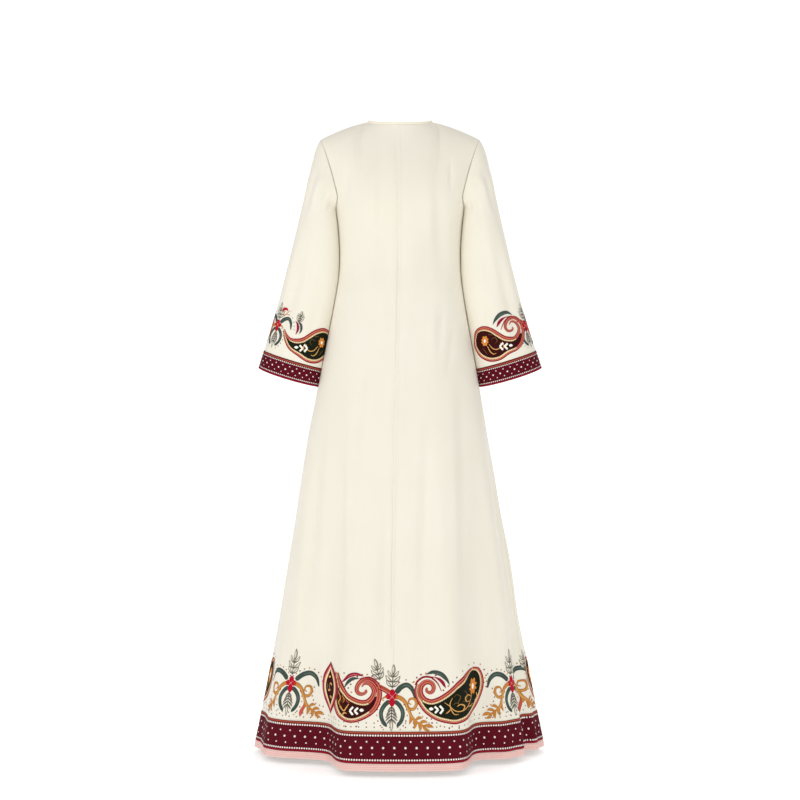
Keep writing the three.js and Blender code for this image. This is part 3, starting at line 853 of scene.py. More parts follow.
# A chart of a stretch of cloth: for each of its rows, from the edge up, how far along the cloth each
# column lies, in mm to the right as seen from outside, and how high the row lies at the middle column.
def makeChart(surface, columns, rows):
    points = surface(*np.meshgrid(columns, rows), 0.0)
    return {
        "surface": surface, "columns": columns, "rows": rows,
        "runs": np.array([runAlong(row) for row in points]),
        "heights": runAlong(points[:, len(columns) // 2]),
    }


# The rank of the row at a height, with a fraction between rows.
def rankAt(chart, height):
    return np.interp(height, chart["heights"], np.arange(len(chart["rows"])))


# How far along the cloth a column lies, by the running lengths of one row.
def runAt(chart, run, column):
    order = slice(None) if chart["columns"][-1] > chart["columns"][0] else slice(None, None, -1)
    return np.interp(column, chart["columns"][order], run[order])


# Columns and levels at places given as complex numbers: mm to the right of a column and mm up.
def chartPlace(chart, column, place):
    rank = rankAt(chart, place.imag)
    lower = np.minimum(rank.astype(int), len(chart["rows"]) - 2)
    found = np.zeros((2, len(place)))
    for k, run in enumerate(chart["runs"]):
        for side in (0, 1):
            here = lower + side == k
            way = runAt(chart, run, column[here]) + place.real[here]
            found[side, here] = np.interp(way, run, chart["columns"])
    share = rank - lower
    level = np.interp(rank, np.arange(len(chart["rows"])), chart["rows"])
    return found[0] * (1 - share) + found[1] * share, level


# The charts' reach and grid: degrees to either side and mm up for the hem, turns and steps for a sleeve.
charted = {
    "hemReach": 300, "hemColumns": 1201, "hemHigh": 320, "hemRow": 20.0,
    "sleeveTurns": (-1, 2), "sleeveColumns": 361, "sleeveTop": 4, "sleeveRows": 17,
}
hemHeights = np.arange(0, charted["hemHigh"] + 1, charted["hemRow"])
hemChart = makeChart(
    clothPoint, np.linspace(charted["hemReach"], -charted["hemReach"], charted["hemColumns"]),
    levelOf(garment["hemZ"] + hemHeights),
)
sleeveCharts = {
    side: makeChart(
        lambda turn, step, lift, side=side: sleeveCloth(side, turn, step, lift),
        np.linspace(*charted["sleeveTurns"], charted["sleeveColumns"])[::side],
        np.linspace(bandStep + 1, charted["sleeveTop"], charted["sleeveRows"]),
    ) for side in sides
}

# Everything printed or stitched on the cloth is laid down here first, by colour, and then meshed.
laid = {}
layerLift = {"first": 0.3, "step": 0.14}


# The signed area of a grid of places: positive where it runs anticlockwise as seen from outside.
def turning(grid):
    a, b, c = grid[:-1, :-1], grid[:-1, 1:], grid[1:, 1:]
    return np.sum(np.imag(np.conj(b - a) * (c - a)))


# Widens places beyond a start, by an amount in mm that is reached softly at an end.
def widened(places, stretch):
    start, end, amount = stretch
    return places + amount * eased(places.real, start, end)


# Places mirrored left to right where asked, then scaled, tilted by degrees and moved.
def carried(places, offset, scale=1.0, tilt=0.0, mirrored=False):
    return (-np.conj(places) if mirrored else places) * scale * np.exp(1j * np.radians(tilt)) + offset


unstretched = (0, 1, 0)


# Lays a motif, a list of (colour, layer, grid of places), at a column and height of a chart.
def lay(motif, chart, column, height, mirrored=False, scale=1.0, tilt=0.0, stretch=unstretched):
    for colour, layer, grid in motif:
        placed = carried(widened(grid, stretch), 1j * height, scale, tilt, mirrored)
        if turning(placed) < 0:
            placed = placed[:, ::-1]
        raised = layerLift["first"] + layerLift["step"] * layer
        columns = np.full(placed.size, float(column))
        laid.setdefault(colour, []).append((chart, columns, placed.ravel(), raised, gridFaces(*placed.shape)))


# Lays hexagonal dots of a radius round centres in mm from a column.
def layDots(colour, chart, column, centres, radius, lift=0.0):
    centres = np.asarray(centres, complex)
    across, _ = chartPlace(chart, np.full(len(centres), float(column)), centres)
    ring = radius * np.exp(1j * np.radians(np.arange(6) * 60))
    places = (1j * centres.imag[:, None] + ring).ravel()
    start = np.arange(len(centres))[:, None, None] * 6
    faces = (start + np.array([[0, 1, 2, 3], [0, 3, 4, 5]])).reshape(-1, 4)
    raised = lift + layerLift["first"]
    laid.setdefault(colour, []).append((chart, np.repeat(across, 6), places, raised, faces))


# Puts all that was laid in one colour into one mesh.
def meshLaid(colour, finish):
    allPoints, allFaces, count = [], [], 0
    for chart in [hemChart, *sleeveCharts.values()]:
        parts = [part for part in laid[colour] if part[0] is chart]
        if not parts:
            continue
        sizes = [len(part[2]) for part in parts]
        lifts = np.repeat([part[3] for part in parts], sizes)
        places = np.concatenate([part[2] for part in parts])
        across, level = chartPlace(chart, np.concatenate([part[1] for part in parts]), places)
        allPoints.append(chart["surface"](across, level, lifts))
        for part, size in zip(parts, sizes):
            allFaces.append(part[4] + count)
            count += size
    finishPiece(makeMesh(f"print_{colour}", np.concatenate(allPoints), np.concatenate(allFaces)), finish)


print("strokes")


# How finely strokes and fills are cut: mm between steps, points to a charted one, mm to a column and
# columns of a fill. An outline is this much wider, in mm, than its stroke.
fineness = {"step": 2.2, "curve": 24, "column": 4, "fill": 16}
outlineWidth = 1.3


# A smooth curve through charted points, in even steps.
def curve(points, step=fineness["step"]):
    points = np.asarray(points, complex)
    knots = runAlong(points)
    fine = through(knots, points, np.linspace(0, knots[-1], fineness["curve"] * len(points)))
    run = runAlong(fine)
    count = max(int(run[-1] / step), 3) + 1
    return np.interp(np.linspace(0, run[-1], count), run, fine)


# The direction to the left of a path at each of its points.
def sideways(path):
    tangent = np.gradient(path)
    return 1j * tangent / np.abs(tangent)


# A leaf's width along it: a sine of the way, kept off its ends, whose broadest place is moved by one power
# and whose sides are filled out by another.
def leafShape(end, skew, power):
    return lambda t: np.sin(np.pi * np.clip(t, end, 1 - end) ** skew) ** power


# A round end: the square root of the way, full after a fourteenth of it.
def roundStart(t):
    return np.sqrt(np.clip(t * 14 + 0.2, 0, 1))


widthShapes = {
    "even": lambda t: 0 * t + 1,
    "leaf": leafShape(0.02, 1, 0.8),
    "crescentLens": leafShape(0.01, 1, 1.15),
    "drop": leafShape(0.03, 1.7, 0.9),
    "petal": leafShape(0.02, 1.15, 0.5),
    "crescent": lambda t: np.sin(np.pi * (0.1 + 0.8 * t)) ** 0.7,
    "taper": lambda t: 1 - 0.72 * t,
    "arc": lambda t: roundStart(t) * (1 - 0.75 * t ** 3),
    "blunt": lambda t: roundStart(t) * np.sqrt(np.clip((1 - t) * 10 + 0.1, 0, 1)) * (1 - 0.2 * t),
}


# A stroke along a smooth curve: its width follows a shape from one end to the other.
def stroke(colour, layer, points, width, shape="even", step=fineness["step"]):
    path = curve(points, step)
    half = sideways(path) * width / 2 * widthShapes[shape](np.linspace(0, 1, len(path)))
    share = np.linspace(-1, 1, max(1, math.ceil(width / fineness["column"])) + 1)
    return colour, layer, path[:, None] + half[:, None] * share


# Strokes, each given by a row of what a stroke needs.
def strokes(*rows):
    return [stroke(*row) for row in rows]


# A stroke on a darker, wider one.
def outlined(colour, dark, layer, points, width, shape="even"):
    wide = width + outlineWidth
    return strokes((dark, layer, points, wide, shape), (colour, layer + 1, points, width, shape))


# A small dot: a hexagon as a grid of three rows.
def dot(colour, layer, centre, radius):
    hexagon = np.array([[-0.5 - 0.87j, 0.5 - 0.87j], [-1, 1], [-0.5 + 0.87j, 0.5 + 0.87j]])
    return colour, layer, centre + radius * hexagon


# Bands side by side along a curve: shares from -0.5 to 0.5 of a width given at the charted points.
# The last layers take over from the charted point whose number is given. Cream bands are dotted.
def bands(points, widths, layers, last=(), change=None):
    path = curve(points)
    knots = runAlong(np.asarray(points, complex))
    way = np.linspace(0, knots[-1], len(path))
    normal = sideways(path) * np.interp(way, knots, np.broadcast_to(widths, len(points)))
    split = len(path) if change is None else int(len(path) * knots[change] / knots[-1])
    motif = []
    for part, rows in ((slice(0, split + 1), layers), (slice(split, None), last)):
        for colour, layer, low, high in rows:
            motif.append((colour, layer, np.stack([path + normal * low, path + normal * high], -1)[part]))
            if colour == "creamPrint":
                places = (path + normal * (low + high) / 2)[part][2::2]
                motif += [dot("ochreDark", layer + 1, place, 0.8) for place in places]
    return motif


# Fills between two curves that start and end together, with a finer grid where it will be widened.
def fill(colour, layer, left, right, finer=1):
    left, right = curve(left), curve(right)
    t = np.linspace(0, 1, max(len(left), len(right)) * finer)
    left, right = [np.interp(t, np.linspace(0, 1, len(side)), side)[:, None] for side in (left, right)]
    share = np.linspace(0, 1, fineness["fill"] * finer + 1)
    return colour, layer, left * (1 - share) + right * share


# A motif mirrored, tilted and moved as one.
def moved(motif, offset, tilt=0.0, mirrored=False):
    return [(colour, layer, carried(grid, offset, 1, tilt, mirrored)) for colour, layer, grid in motif]


# Places in even steps along a curve, a distance to its left.
def dotsAlong(points, offset, pitch):
    path = curve(points, pitch)
    return path + sideways(path) * offset


print("motifs")


# Four petals round a point, the lowest one longer, with a fine pale cross between them.
def redFlower():
    tips = (0.8 + 16j, -14 + 1j, 14 + 1j, -21j)
    corners = (5.5 + 5.5j, -5.5 + 5.5j, 5.5 - 5.5j, -5.5 - 5.5j)
    return strokes(
        *[("crimson", 1, [0, tip], 12.5, "petal", 1.2) for tip in tips],
        *[("blush", 2, [0, corner], 0.9, "taper") for corner in corners],
    )


# A fern: a stem with pairs of outlined leaflets, each a grey leaf with a pale heart, and one at the tip.
def fern(height, spread=14.0):
    motif = strokes(("fernDark", 0, [0, 0.3 + 0.62j * height], 2.0))
    for share, out, width in ((0.04, 1.0, 6.6), (0.24, 1.15, 7.4), (0.45, 0.85, 6.8)):
        base = 1j * height * share
        for side in (-1, 1):
            tip = base + side * spread * out + 1j * height * 0.29
            bowed = (base + tip) / 2 + side * 1.5 - 0.8j
            heart = [base * 0.75 + tip * 0.25, bowed, base * 0.12 + tip * 0.88]
            motif += strokes(
                ("fern", 1, [base, bowed, tip], width, "leaf"),
                ("pale", 2, heart, width - 3.2, "leaf"),
                ("fern", 3, [base, base * 0.4 + tip * 0.6], 0.8, "taper"),
            )
    return motif + strokes(
        ("fern", 1, [0.53j * height, 0.8 + 0.78j * height, 1j * height], 8.4, "leaf"),
        ("pale", 2, [0.62j * height, 0.92j * height], 4.8, "leaf"),
        ("fern", 3, [0.56j * height, 0.84j * height], 0.9, "taper"),
    )


# The fern that hangs between the two arcs: strokes like a herringbone, then one long pale leaf.
def hangingFern():
    stem = -54j
    motif = strokes(("fernDark", 0, [0, 0.5 * stem], 1.8))
    for k, reachOut in enumerate((8, 11, 13, 13, 10)):
        top = stem * (0.02 + 0.12 * k)
        for side in (-1, 1):
            tip = top + side * reachOut - 12j
            motif += strokes(
                ("fern", 1, [top, top * 0.4 + tip * 0.6 + 1.2j, tip], 3.9, "leaf"),
                ("fernDark", 2, [top, top * 0.55 + tip * 0.45 + 0.8j], 1.5, "taper"),
            )
    return motif + strokes(
        ("fern", 0, [0.45 * stem, stem], 7.6, "leaf"),
        ("pale", 1, [0.55 * stem, 0.94 * stem], 4.2, "leaf"),
        ("fernDark", 2, [0.5 * stem, 0.7 * stem], 1.3, "taper"),
    )


# Ochre scroll: a long vine with an inner curl, then leaves in pairs and at its end.
def scroll():
    motif = []
    for points, width, shape in (
        ([8 + 0j, 19 - 3j, 29 - 12j, 36 - 27j, 43 - 42j, 54 - 54j, 68 - 62j, 80 - 65j], 8.4, "taper"),
        ([29 - 13j, 36 - 25j, 47 - 26j, 53 - 16j, 49 - 5j, 39 - 5j, 36 - 13j, 42 - 17j], 5.6, "arc"),
        ([38 - 32j, 42 - 46j, 38 - 59j], 6.0, "leaf"),
        ([46 - 45j, 51 - 57j, 49 - 69j], 6.4, "leaf"),
        ([50 - 51j, 59 - 45j, 67 - 46j], 5.4, "leaf"),
        ([58 - 58j, 69 - 53j, 78 - 55j], 5.6, "leaf"),
        ([57 - 57j, 62 - 66j, 61 - 74j], 5.6, "leaf"),
        ([68 - 62j, 80 - 62j, 91 - 66j], 6.4, "leaf"),
        ([66 - 62j, 74 - 70j, 83 - 73j], 5.4, "leaf"),
    ):
        motif += outlined("ochre", "ochreDark", 0, points, width, shape)
    return motif + strokes(
        ("ochreLight", 2, [17 - 3j, 29 - 13j, 35 - 28j, 43 - 43j, 54 - 55j], 2.6, "leaf"),
        ("ochreLight", 2, [36 - 26j, 46 - 27j, 52 - 17j, 49 - 7j], 1.4, "leaf"),
    )


dotInks = ("brown", "ochre", "darkRed")


# Small dots a way off a curve, in three colours by turns.
def dotRow(points, offset, pitch):
    places = dotsAlong(points, offset, pitch)
    return [dot(dotInks[k % 3], 0, place, 1.7) for k, place in enumerate(places)]


# The cluster round a flower: two ferns, and lower arcs, upper arcs and scrolls to either side. A wide one
# has longer upper arcs and a bud. The others have a short stem in place of the left scroll.
def cluster(leftArc, isWide, tallFern):
    motif = redFlower() + moved(fern(tallFern), 18j, tilt=-3) + moved(hangingFern(), -1 - 20j)
    arcReach = 1.38 if isWide else 1.0
    for side in (1, -1):
        lower, upper, beside = [[complex(side * x, y) for x, y in line] for line in (
            ((5, -9), (16, -18), (23.5, -33), (21, -50), (11, -64)),
            [(x * arcReach, y) for x, y in ((8, 8), (20, 21), (33, 25), (44, 15), (50, -4))],
            ((58, -6), (56, -26), (66, -42), (86, -48)),
        )]
        arcs = [(lower, 9.8, "blunt", 2.6, 9.5, 9)]
        if side > 0 or leftArc:
            arcs.append((upper, 11.5, "arc", 2.8, 11, 8.5))
        for points, width, shape, light, away, pitch in arcs:
            motif += strokes(
                ("greyGreen", 0, points, width, shape), ("greyGreenLight", 1, points[1:4], light, "leaf"),
            )
            motif += dotRow(points, away * side, pitch)
        if side > 0 or isWide:
            motif += moved(scroll(), 0, mirrored=side < 0) + dotRow(beside, 0, 9)
    if isWide:
        motif += outlined("coral", "darkRed", 1, [38 - 38j, 39 - 50j, 35 - 62j, 33 - 74j], 7.6, "drop")
    if not leftArc:
        motif += bands([-6 + 9j, -16 + 15j, -28 + 21j], 11, [
            ("terracotta", 0, -0.5, 0.1), ("rose", 1, 0.1, 0.28), ("darkRed", 1, 0.28, 0.5),
        ])
    if not isWide:
        motif += outlined("ochre", "ochreDark", 0, [-9 + 1j, -16 - 1j, -23 - 6j], 4.6, "taper")
    return motif


# The charted edges of a paisley's heads and tails, with the widths of the tail's bands, and after how many
# of its points the outer bands change to the tail's.
paisleyCurves = {
    "raisedHead": {
        "inner": [96 + 33j, 86 + 27j, 74 + 13j, 60 + 0j, 41 - 14j, 20 - 25j, 4 - 28j],
        "outer": [
            96 + 33j, 108 + 28j, 118 + 9j, 119 - 12j, 111 - 36j, 96 - 57j, 64 - 72j, 32 - 68j, 11 - 60j,
        ],
    },
    "foldedHead": {
        "inner": [62 + 32j, 60 + 22j, 56 + 10j, 49 - 3j, 39 - 14j, 24 - 22j, 7 - 27j],
        "outer": [62 + 32j, 66 + 14j, 67 - 10j, 63 - 38j, 54 - 57j, 38 - 65j, 16 - 64j],
    },
    "roundHead": {
        "inner": [96 - 30j, 89 - 10j, 73 - 2j, 54 - 6j, 36 - 17j, 20 - 26j, 4 - 28j],
        "outer": [96 - 30j, 94 - 48j, 80 - 66j, 56 - 76j, 32 - 73j, 11 - 60j],
    },
    "innerSpiral": {
        "inner": [
            -10 - 22j, -17 - 10j, -16 + 4j, -8 + 13j, 2 + 15j, 11 + 9j, 12 - 1j, 6 - 8j, -2 - 6j, -4 - 1j,
            -1 + 2j,
        ],
        "innerWidths": [13, 12.5, 12, 11, 10.5, 10, 9, 7.5, 6.5, 5.5, 4.5],
        "outer": [-9 - 44j, -22 - 22j, -26 - 4j, -23 + 10j],
        "outerWidths": [10, 10, 9, 5],
        "change": 3,
    },
    "outerSpiral": {
        "inner": [-7 - 25j, -17 - 14j, -20 - 1j, -15 + 9j, -7 + 14.5j, 2 + 13.5j, 7 + 7j],
        "innerWidths": [12.5, 11, 10, 9, 7.5, 5, 2.5],
        "outer": [
            -12 - 50j, -26 - 34j, -32 - 12j, -29 + 6j, -21 + 17j, -8 + 24j, 6 + 21j, 15 + 12j, 18 + 1j,
            13 - 7j, 4 - 8j, -3 - 3j, -1 + 1j,
        ],
        "outerWidths": [11, 12, 12, 11.5, 11, 11, 10.5, 10, 9.5, 8.5, 7, 6, 4.5],
        "change": 0,
    },
    "pointedTail": {
        "inner": [-10 - 24j, -20 - 14j, -27 + 0j],
        "innerWidths": [10, 7, 2.5],
        "outer": [-10 - 46j, -22 - 26j, -28 - 6j, -28 + 1j],
        "outerWidths": [10, 9, 5, 2.5],
        "change": 3,
    },
}
# Its bands, as (colour, layer, shares of the width), along the head and along the tail.
paisleyBands = {
    "inner": ([
        ("darkRed", 1, -0.5, -0.24), ("rose", 1, -0.24, -0.12), ("terracotta", 1, -0.12, 0.2),
        ("creamPrint", 1, 0.2, 0.43), ("ochreDark", 1, 0.43, 0.5),
    ], [
        ("darkRed", 1, -0.5, -0.24), ("rose", 1, -0.24, -0.08), ("terracotta", 1, -0.08, 0.24),
        ("rose", 1, 0.24, 0.38), ("darkRed", 1, 0.38, 0.5),
    ]),
    "outer": ([
        ("darkRed", 1, 0.2, 0.5), ("rose", 1, 0.06, 0.2), ("terracotta", 1, -0.1, 0.06),
        ("creamPrint", 1, -0.42, -0.1), ("ochreDark", 1, -0.5, -0.42),
    ], [
        ("darkRed", 1, 0.26, 0.5), ("rose", 1, 0.08, 0.26), ("terracotta", 1, -0.24, 0.08),
        ("rose", 1, -0.38, -0.24), ("darkRed", 1, -0.5, -0.38),
    ]),
}


# A paisley to the right of its tail: a dark ground between an inner and an outer edge, and along each
# edge crimson, rose, terracotta and cream bands, with a dotted row on the cream.
def paisley(ground, head, tail, finer=1, thin=1.0):
    head, tail = paisleyCurves[head], paisleyCurves[tail]
    motif = [fill(ground, 0, head["inner"] + tail["inner"][:2], head["outer"] + tail["outer"][:3], finer)]
    for edge, headWidth, change in (("inner", 12, 0), ("outer", 10, tail["change"])):
        points = head[edge] + tail[edge]
        widths = [7, 9] + [headWidth] * (len(head[edge]) - 2)
        widths += [width * thin for width in tail[edge + "Widths"]]
        motif += bands(points, widths, *paisleyBands[edge], len(head[edge]) + change)
    return motif


# Dots beyond a paisley's edges: beside its inner edge, round its head and over its spiral.
def paisleyDots(head):
    curves = paisleyCurves[head]
    past = dotsAlong(curves["inner"][:5], -13, 12.5)
    beyond = dotsAlong(curves["outer"][:4], 12, 11)
    over = 34 * np.exp(1j * np.radians(np.arange(20, 200, 19)))
    under = dotsAlong(curves["outer"][-4:], 14, 16)
    return [past, beyond, over, under]


# A lozenge and two chevrons that point away from the tail.
def chevrons():
    return strokes(
        ("white", 3, [-43j, 5 - 43j, 10 - 43j], 7.0, "leaf", 1.5),
        *[
            ("white", 3, [x - 2 + 1j * (side * reachOut - 45), x + 5.5 - 45j], 4.4)
            for x, reachOut in ((15, 7), (26, 8.5)) for side in (-1, 1)
        ],
    )


# A lens: nested leaf shapes with gilt sprigs on the dark middle.
def lens(base, tip, width):
    along = tip - base
    motif = strokes(*[
        (colour, layer, [base + along * inset, tip - along * inset], width * share, "crescentLens", 3)
        for colour, layer, inset, share in (
            ("magenta", 5, 0, 1), ("rose", 6, 0.06, 0.78), ("creamPrint", 7, 0.1, 0.66),
            ("redBlack", 8, 0.15, 0.5),
        )
    ])
    for share, out in ((0.3, 1.5), (0.42, -2), (0.55, 1.5), (0.68, -1)):
        centre = base + along * share
        side = centre + 1j * along / abs(along) * out * 2
        motif += strokes(("ochreLight", 9, [side, centre + along * 0.05], 4, "leaf"))
    return motif


# The folded head's filling: chevrons, an ochre vine and a few leaves.
def foldedFilling():
    return chevrons() + strokes(
        ("ochreLight", 2, [54 - 38j, 46 - 46j, 38 - 36j, 34 - 30j], 3.0, "crescent"),
        ("ochreLight", 2, [50 - 56j, 44 - 50j, 38 - 52j], 3.6, "leaf"),
        ("ochre", 2, [57 - 8j, 53 - 20j, 56 - 31j, 50 - 40j], 2.4, "crescent"),
        ("ochre", 2, [51 - 14j, 46 - 22j, 49 - 30j], 2.2, "leaf"),
        ("ochre", 2, [58 + 12j, 60 + 0j, 57 - 10j], 2.2, "leaf"),
        ("terracotta", 2, [44 - 20j, 38 - 26j, 30 - 28j], 2.4, "leaf"),
        ("ochreDark", 1, [58 + 20j, 56 - 4j, 60 - 20j, 56 - 34j], 1.6, "crescent"),
        ("ochreDark", 1, [52 - 8j, 48 - 20j, 54 - 30j], 1.4, "crescent"),
    )


# The place and height of the flower in the other heads, and their vines, bright ones and faint ones.
headVines = {
    "raisedHead": (97 - 6j, 1.5, [
        [95 - 18j, 92 - 30j, 83 - 44j, 70 - 51j, 57 - 48j, 46 - 38j, 35 - 30j],
        [53 - 21j, 47 - 33j, 49 - 45j, 56 - 56j, 66 - 57j],
        [37 - 54j, 43 - 50j, 49 - 44j],
        [92 - 26j, 84 - 20j, 78 - 24j, 80 - 33j, 87 - 34j],
        [72 - 51j, 76 - 42j, 70 - 36j, 63 - 40j],
        [84 - 45j, 92 - 47j, 97 - 43j], [106 - 22j, 108 - 32j, 102 - 40j],
    ], [
        [56 - 20j, 64 - 14j, 70 - 20j, 66 - 34j, 76 - 42j], [76 - 8j, 82 - 18j, 80 - 30j, 72 - 32j],
        [54 - 36j, 62 - 32j, 70 - 38j], [92 - 40j, 86 - 48j, 84 - 56j],
    ]),
    "roundHead": (68 - 32j, 1.0, [
        [58 - 40j, 48 - 50j, 38 - 52j, 30 - 46j, 30 - 36j],
        [62 - 44j, 54 - 58j, 46 - 63j, 40 - 61j],
        [26 - 34j, 22 - 42j, 25 - 52j],
    ], [
        [52 - 28j, 44 - 24j, 38 - 30j, 42 - 38j], [74 - 50j, 66 - 58j, 62 - 64j], [60 - 16j, 50 - 18j],
    ]),
}


# What the paisley's ground carries: an eight-petalled flower, thin vines and the chevrons.
def paisleyFilling(head):
    if head == "foldedHead":
        return foldedFilling()
    heart, tall, vines, faint = headVines[head]
    out = np.exp(1j * np.radians(45 * np.arange(8) + 20))
    starts, tips = heart + 3 * out, heart + 9 * out.real + 13j * tall * out.imag
    return strokes(
        *[("orange", 2, petal, 6.5, "leaf", 1.5) for petal in zip(starts, tips)],
        ("orange", 3, [heart - 6j * tall, heart + 6j * tall], 11, "leaf", 1.5),
        ("white", 4, [heart - 4.5j * tall, heart + 4.5j * tall], 5.5, "leaf", 1.5),
        *[("ochreLight", 2, vine, 2.2, "crescent") for vine in vines],
        *[("ochreDark", 1, vine, 1.4, "crescent") for vine in faint],
    ) + chevrons()


# Plumes that leave the top of a spiral: crimson and grey-green ones, on either kind of spiral.
def plumes(isInner):
    motif = strokes(("darkRed", 1, [-27 + 8j, -22 + 17j, -10 + 25j, 2 + 26j, 12 + 23j], 4.2))
    if isInner:
        return motif + strokes(
            ("magenta", 2, [6 + 27j, 20 + 23j, 31 + 15j, 39 + 1j], 7.2, "drop"),
            ("darkRed", 1, [10 + 23j, 19 + 15j, 25 + 5j, 29 - 6j], 4.0, "taper"),
            ("greyGreen", 1, [-4 + 31j, 12 + 36j, 30 + 31j, 42 + 19j, 48 + 7j], 10.0, "leaf"),
            ("greyGreenLight", 2, [8 + 35j, 28 + 31j, 40 + 20j], 2.0, "leaf"),
        )
    return motif + strokes(
        ("magenta", 2, [4 + 30j, 20 + 34j, 38 + 29j, 53 + 14j], 8.4, "leaf"),
        ("rose", 3, [12 + 32j, 26 + 33j, 42 + 26j], 1.4, "leaf"),
        ("greyGreen", 1, [13 + 25j, 28 + 24j, 40 + 15j, 48 + 3j], 7.4, "leaf"),
    )


print("border")


# The running lengths of the row that lies next to a height.
def rowNear(chart, height):
    return chart["runs"][int(round(rankAt(chart, height)))]


# The column that lies a distance in mm along such a row from another one.
def columnBeyond(chart, run, column, distance):
    return np.interp(runAt(chart, run, column) + distance, run, chart["columns"])


# Places in whole steps of about a pitch, once round the chart at a height.
def stepsRound(chart, full, height, pitch, shift):
    rank = rankAt(chart, height)
    low, high = [chart["runs"][min(int(rank) + k, len(chart["rows"]) - 1)] for k in (0, 1)]
    run = low + (high - low) * (rank - int(rank))
    start, end = runAt(chart, run, np.array([-full / 2, full / 2]))
    count = int(round(abs(end - start) / pitch))
    return (np.arange(count) + shift) * abs(end - start) / count


# Rows of dots round the hem and the cuffs, each with its height, pitch, radius and shift.
def layDotRows(colour, chart, full, first, rows, lift=0.0):
    for height, pitch, radius, shift in rows:
        places = stepsRound(chart, full, height, pitch, shift) + 1j * height
        layDots(colour, chart, first, places, radius, lift)


layDotRows("stitch", hemChart, 360, 180, [
    (23.8, 5.7, 2.2, 0), (76.4, 5.7, 2.3, 0), (36, 24, 1.9, 0.5), (50, 24, 2.7, 0), (63, 24, 2.0, 0.5),
], 0.6)
for side, chart in sleeveCharts.items():
    layDotRows("stitch", chart, 2, -side, [
        (6.6, 4.7, 1.5, 0), (36.6, 4.7, 1.5, 0), (14, 17, 1.3, 0.5), (21.5, 17, 2.0, 0), (29.5, 17, 1.4, 0.5),
    ], 0.35)


# A strip that runs once round a chart between two heights.
def edgeLine(name, chart, columns, low, high, finish, lift):
    rows = np.interp([low, high], chart["heights"], chart["rows"])
    across, level = np.meshgrid(columns, rows)
    finishPiece(makeGrid(name, chart["surface"](across, level, lift), np.stack([across, level], -1)), finish)


# Pigment printed on the cloth, and matt yarn for the stitches: flat, nearly without gloss, and the
# weave shows through.
inks = {name: clothFinish(name, {
    "colour": colour, "shade": shade, "blotch": 12, "yarn": 1.2, "slub": 0.5, "pebble": 1.4,
    "relief": 0.2, "roughness": 0.75, "sheen": 0.0, "gloss": 0.1,
}) for name, colour, shade in [
    ("crimson", "#C20E2C", "#AE0A25"), ("darkRed", "#98182B", "#841324"), ("magenta", "#9C1C42", "#861636"),
    ("rose", "#DA8270", "#D17464"), ("terracotta", "#B4523A", "#A14531"), ("blush", "#EDB9B2", "#E4A9A2"),
    ("creamPrint", "#F6E4BC", "#F0D8A6"), ("greyGreen", "#46554D", "#3A4841"),
    ("greyGreenLight", "#5F7067", "#54645B"), ("fern", "#827D70", "#706B60"),
    ("fernDark", "#515247", "#44453C"), ("ochre", "#CC8A40", "#BE7A34"), ("ochreLight", "#E2AE66", "#D69C52"),
    ("ochreDark", "#7C5C30", "#6A4D27"), ("coral", "#D05C4A", "#C24E3E"), ("orange", "#E0913F", "#D38033"),
    ("white", "#FFFDF3", "#F6F1E2"), ("greenBlack", "#1A2011", "#12170B"), ("redBlack", "#3E0C0E", "#300809"),
    ("stitch", "#F8ECE6", "#F0DFD8"), ("pale", "#EBE4D2", "#E0D8C4"), ("brown", "#7A4A3A", "#6A3D30"),
]}

hemColumns = np.linspace(180, -180, 601)
for name, low, high, ink, lift in [
    ("line_low", 16.6, 20.4, "darkRed", 0.6), ("line_high", 80.4, 83.6, "terracotta", 0.6),
    ("rib_1", 4, 5, "blush", 0.35), ("rib_2", 8, 9, "blush", 0.35), ("rib_3", 12, 13, "blush", 0.35),
]:
    edgeLine(f"hem_{name}", hemChart, hemColumns, low, high, inks[ink], lift)
for side, chart in sleeveCharts.items():
    columns = np.linspace(-1, 1, 161) * side
    for name, low, high, ink in [("edge", 0.3, 3.6, "darkRed"), ("high", 39.6, 42.0, "terracotta")]:
        edgeLine(f"cuff_line_{name}_{sides[side]}", chart, columns, low, high, inks[ink], 0.6)

# Flowers stand between paisleys that turn their spirals, then their heads, towards them. The cloth
# behind shows two units, and four more of like length go round the rest. Columns are in degrees, heights
# and distances in mm. A stretch widens a motif where it lies on the flank of a fold.
border = {
    "first": 0.4, "second": 51.1, "last": 299.7, "flowerLine": 165, "paisleyLine": 175, "paisleyAway": 60,
    "heights": [159.5, 168.5, 166, 165, 166, 165.5], "lastStretch": (6, 62, 36),
}
flowerRun = rowNear(hemChart, border["flowerLine"])
hidden = runAt(hemChart, flowerRun, border["last"]) - runAt(hemChart, flowerRun, border["second"])
flowers = [border["first"], border["second"]] + [
    columnBeyond(hemChart, flowerRun, border["second"], hidden * k / 4) for k in (1, 2, 3)
] + [border["last"]]
for k, (column, height) in enumerate(zip(flowers, border["heights"])):
    column, isLast = wrapped(column), k == 5
    isWide = k % 2 == 1
    motif = cluster(k != 0, isWide, 60 if isWide else 52)
    lay(motif, hemChart, column, height, stretch=border["lastStretch"] if isLast else unstretched)
    if isLast:
        lay(moved(fern(46), 88), hemChart, column, height + 20)

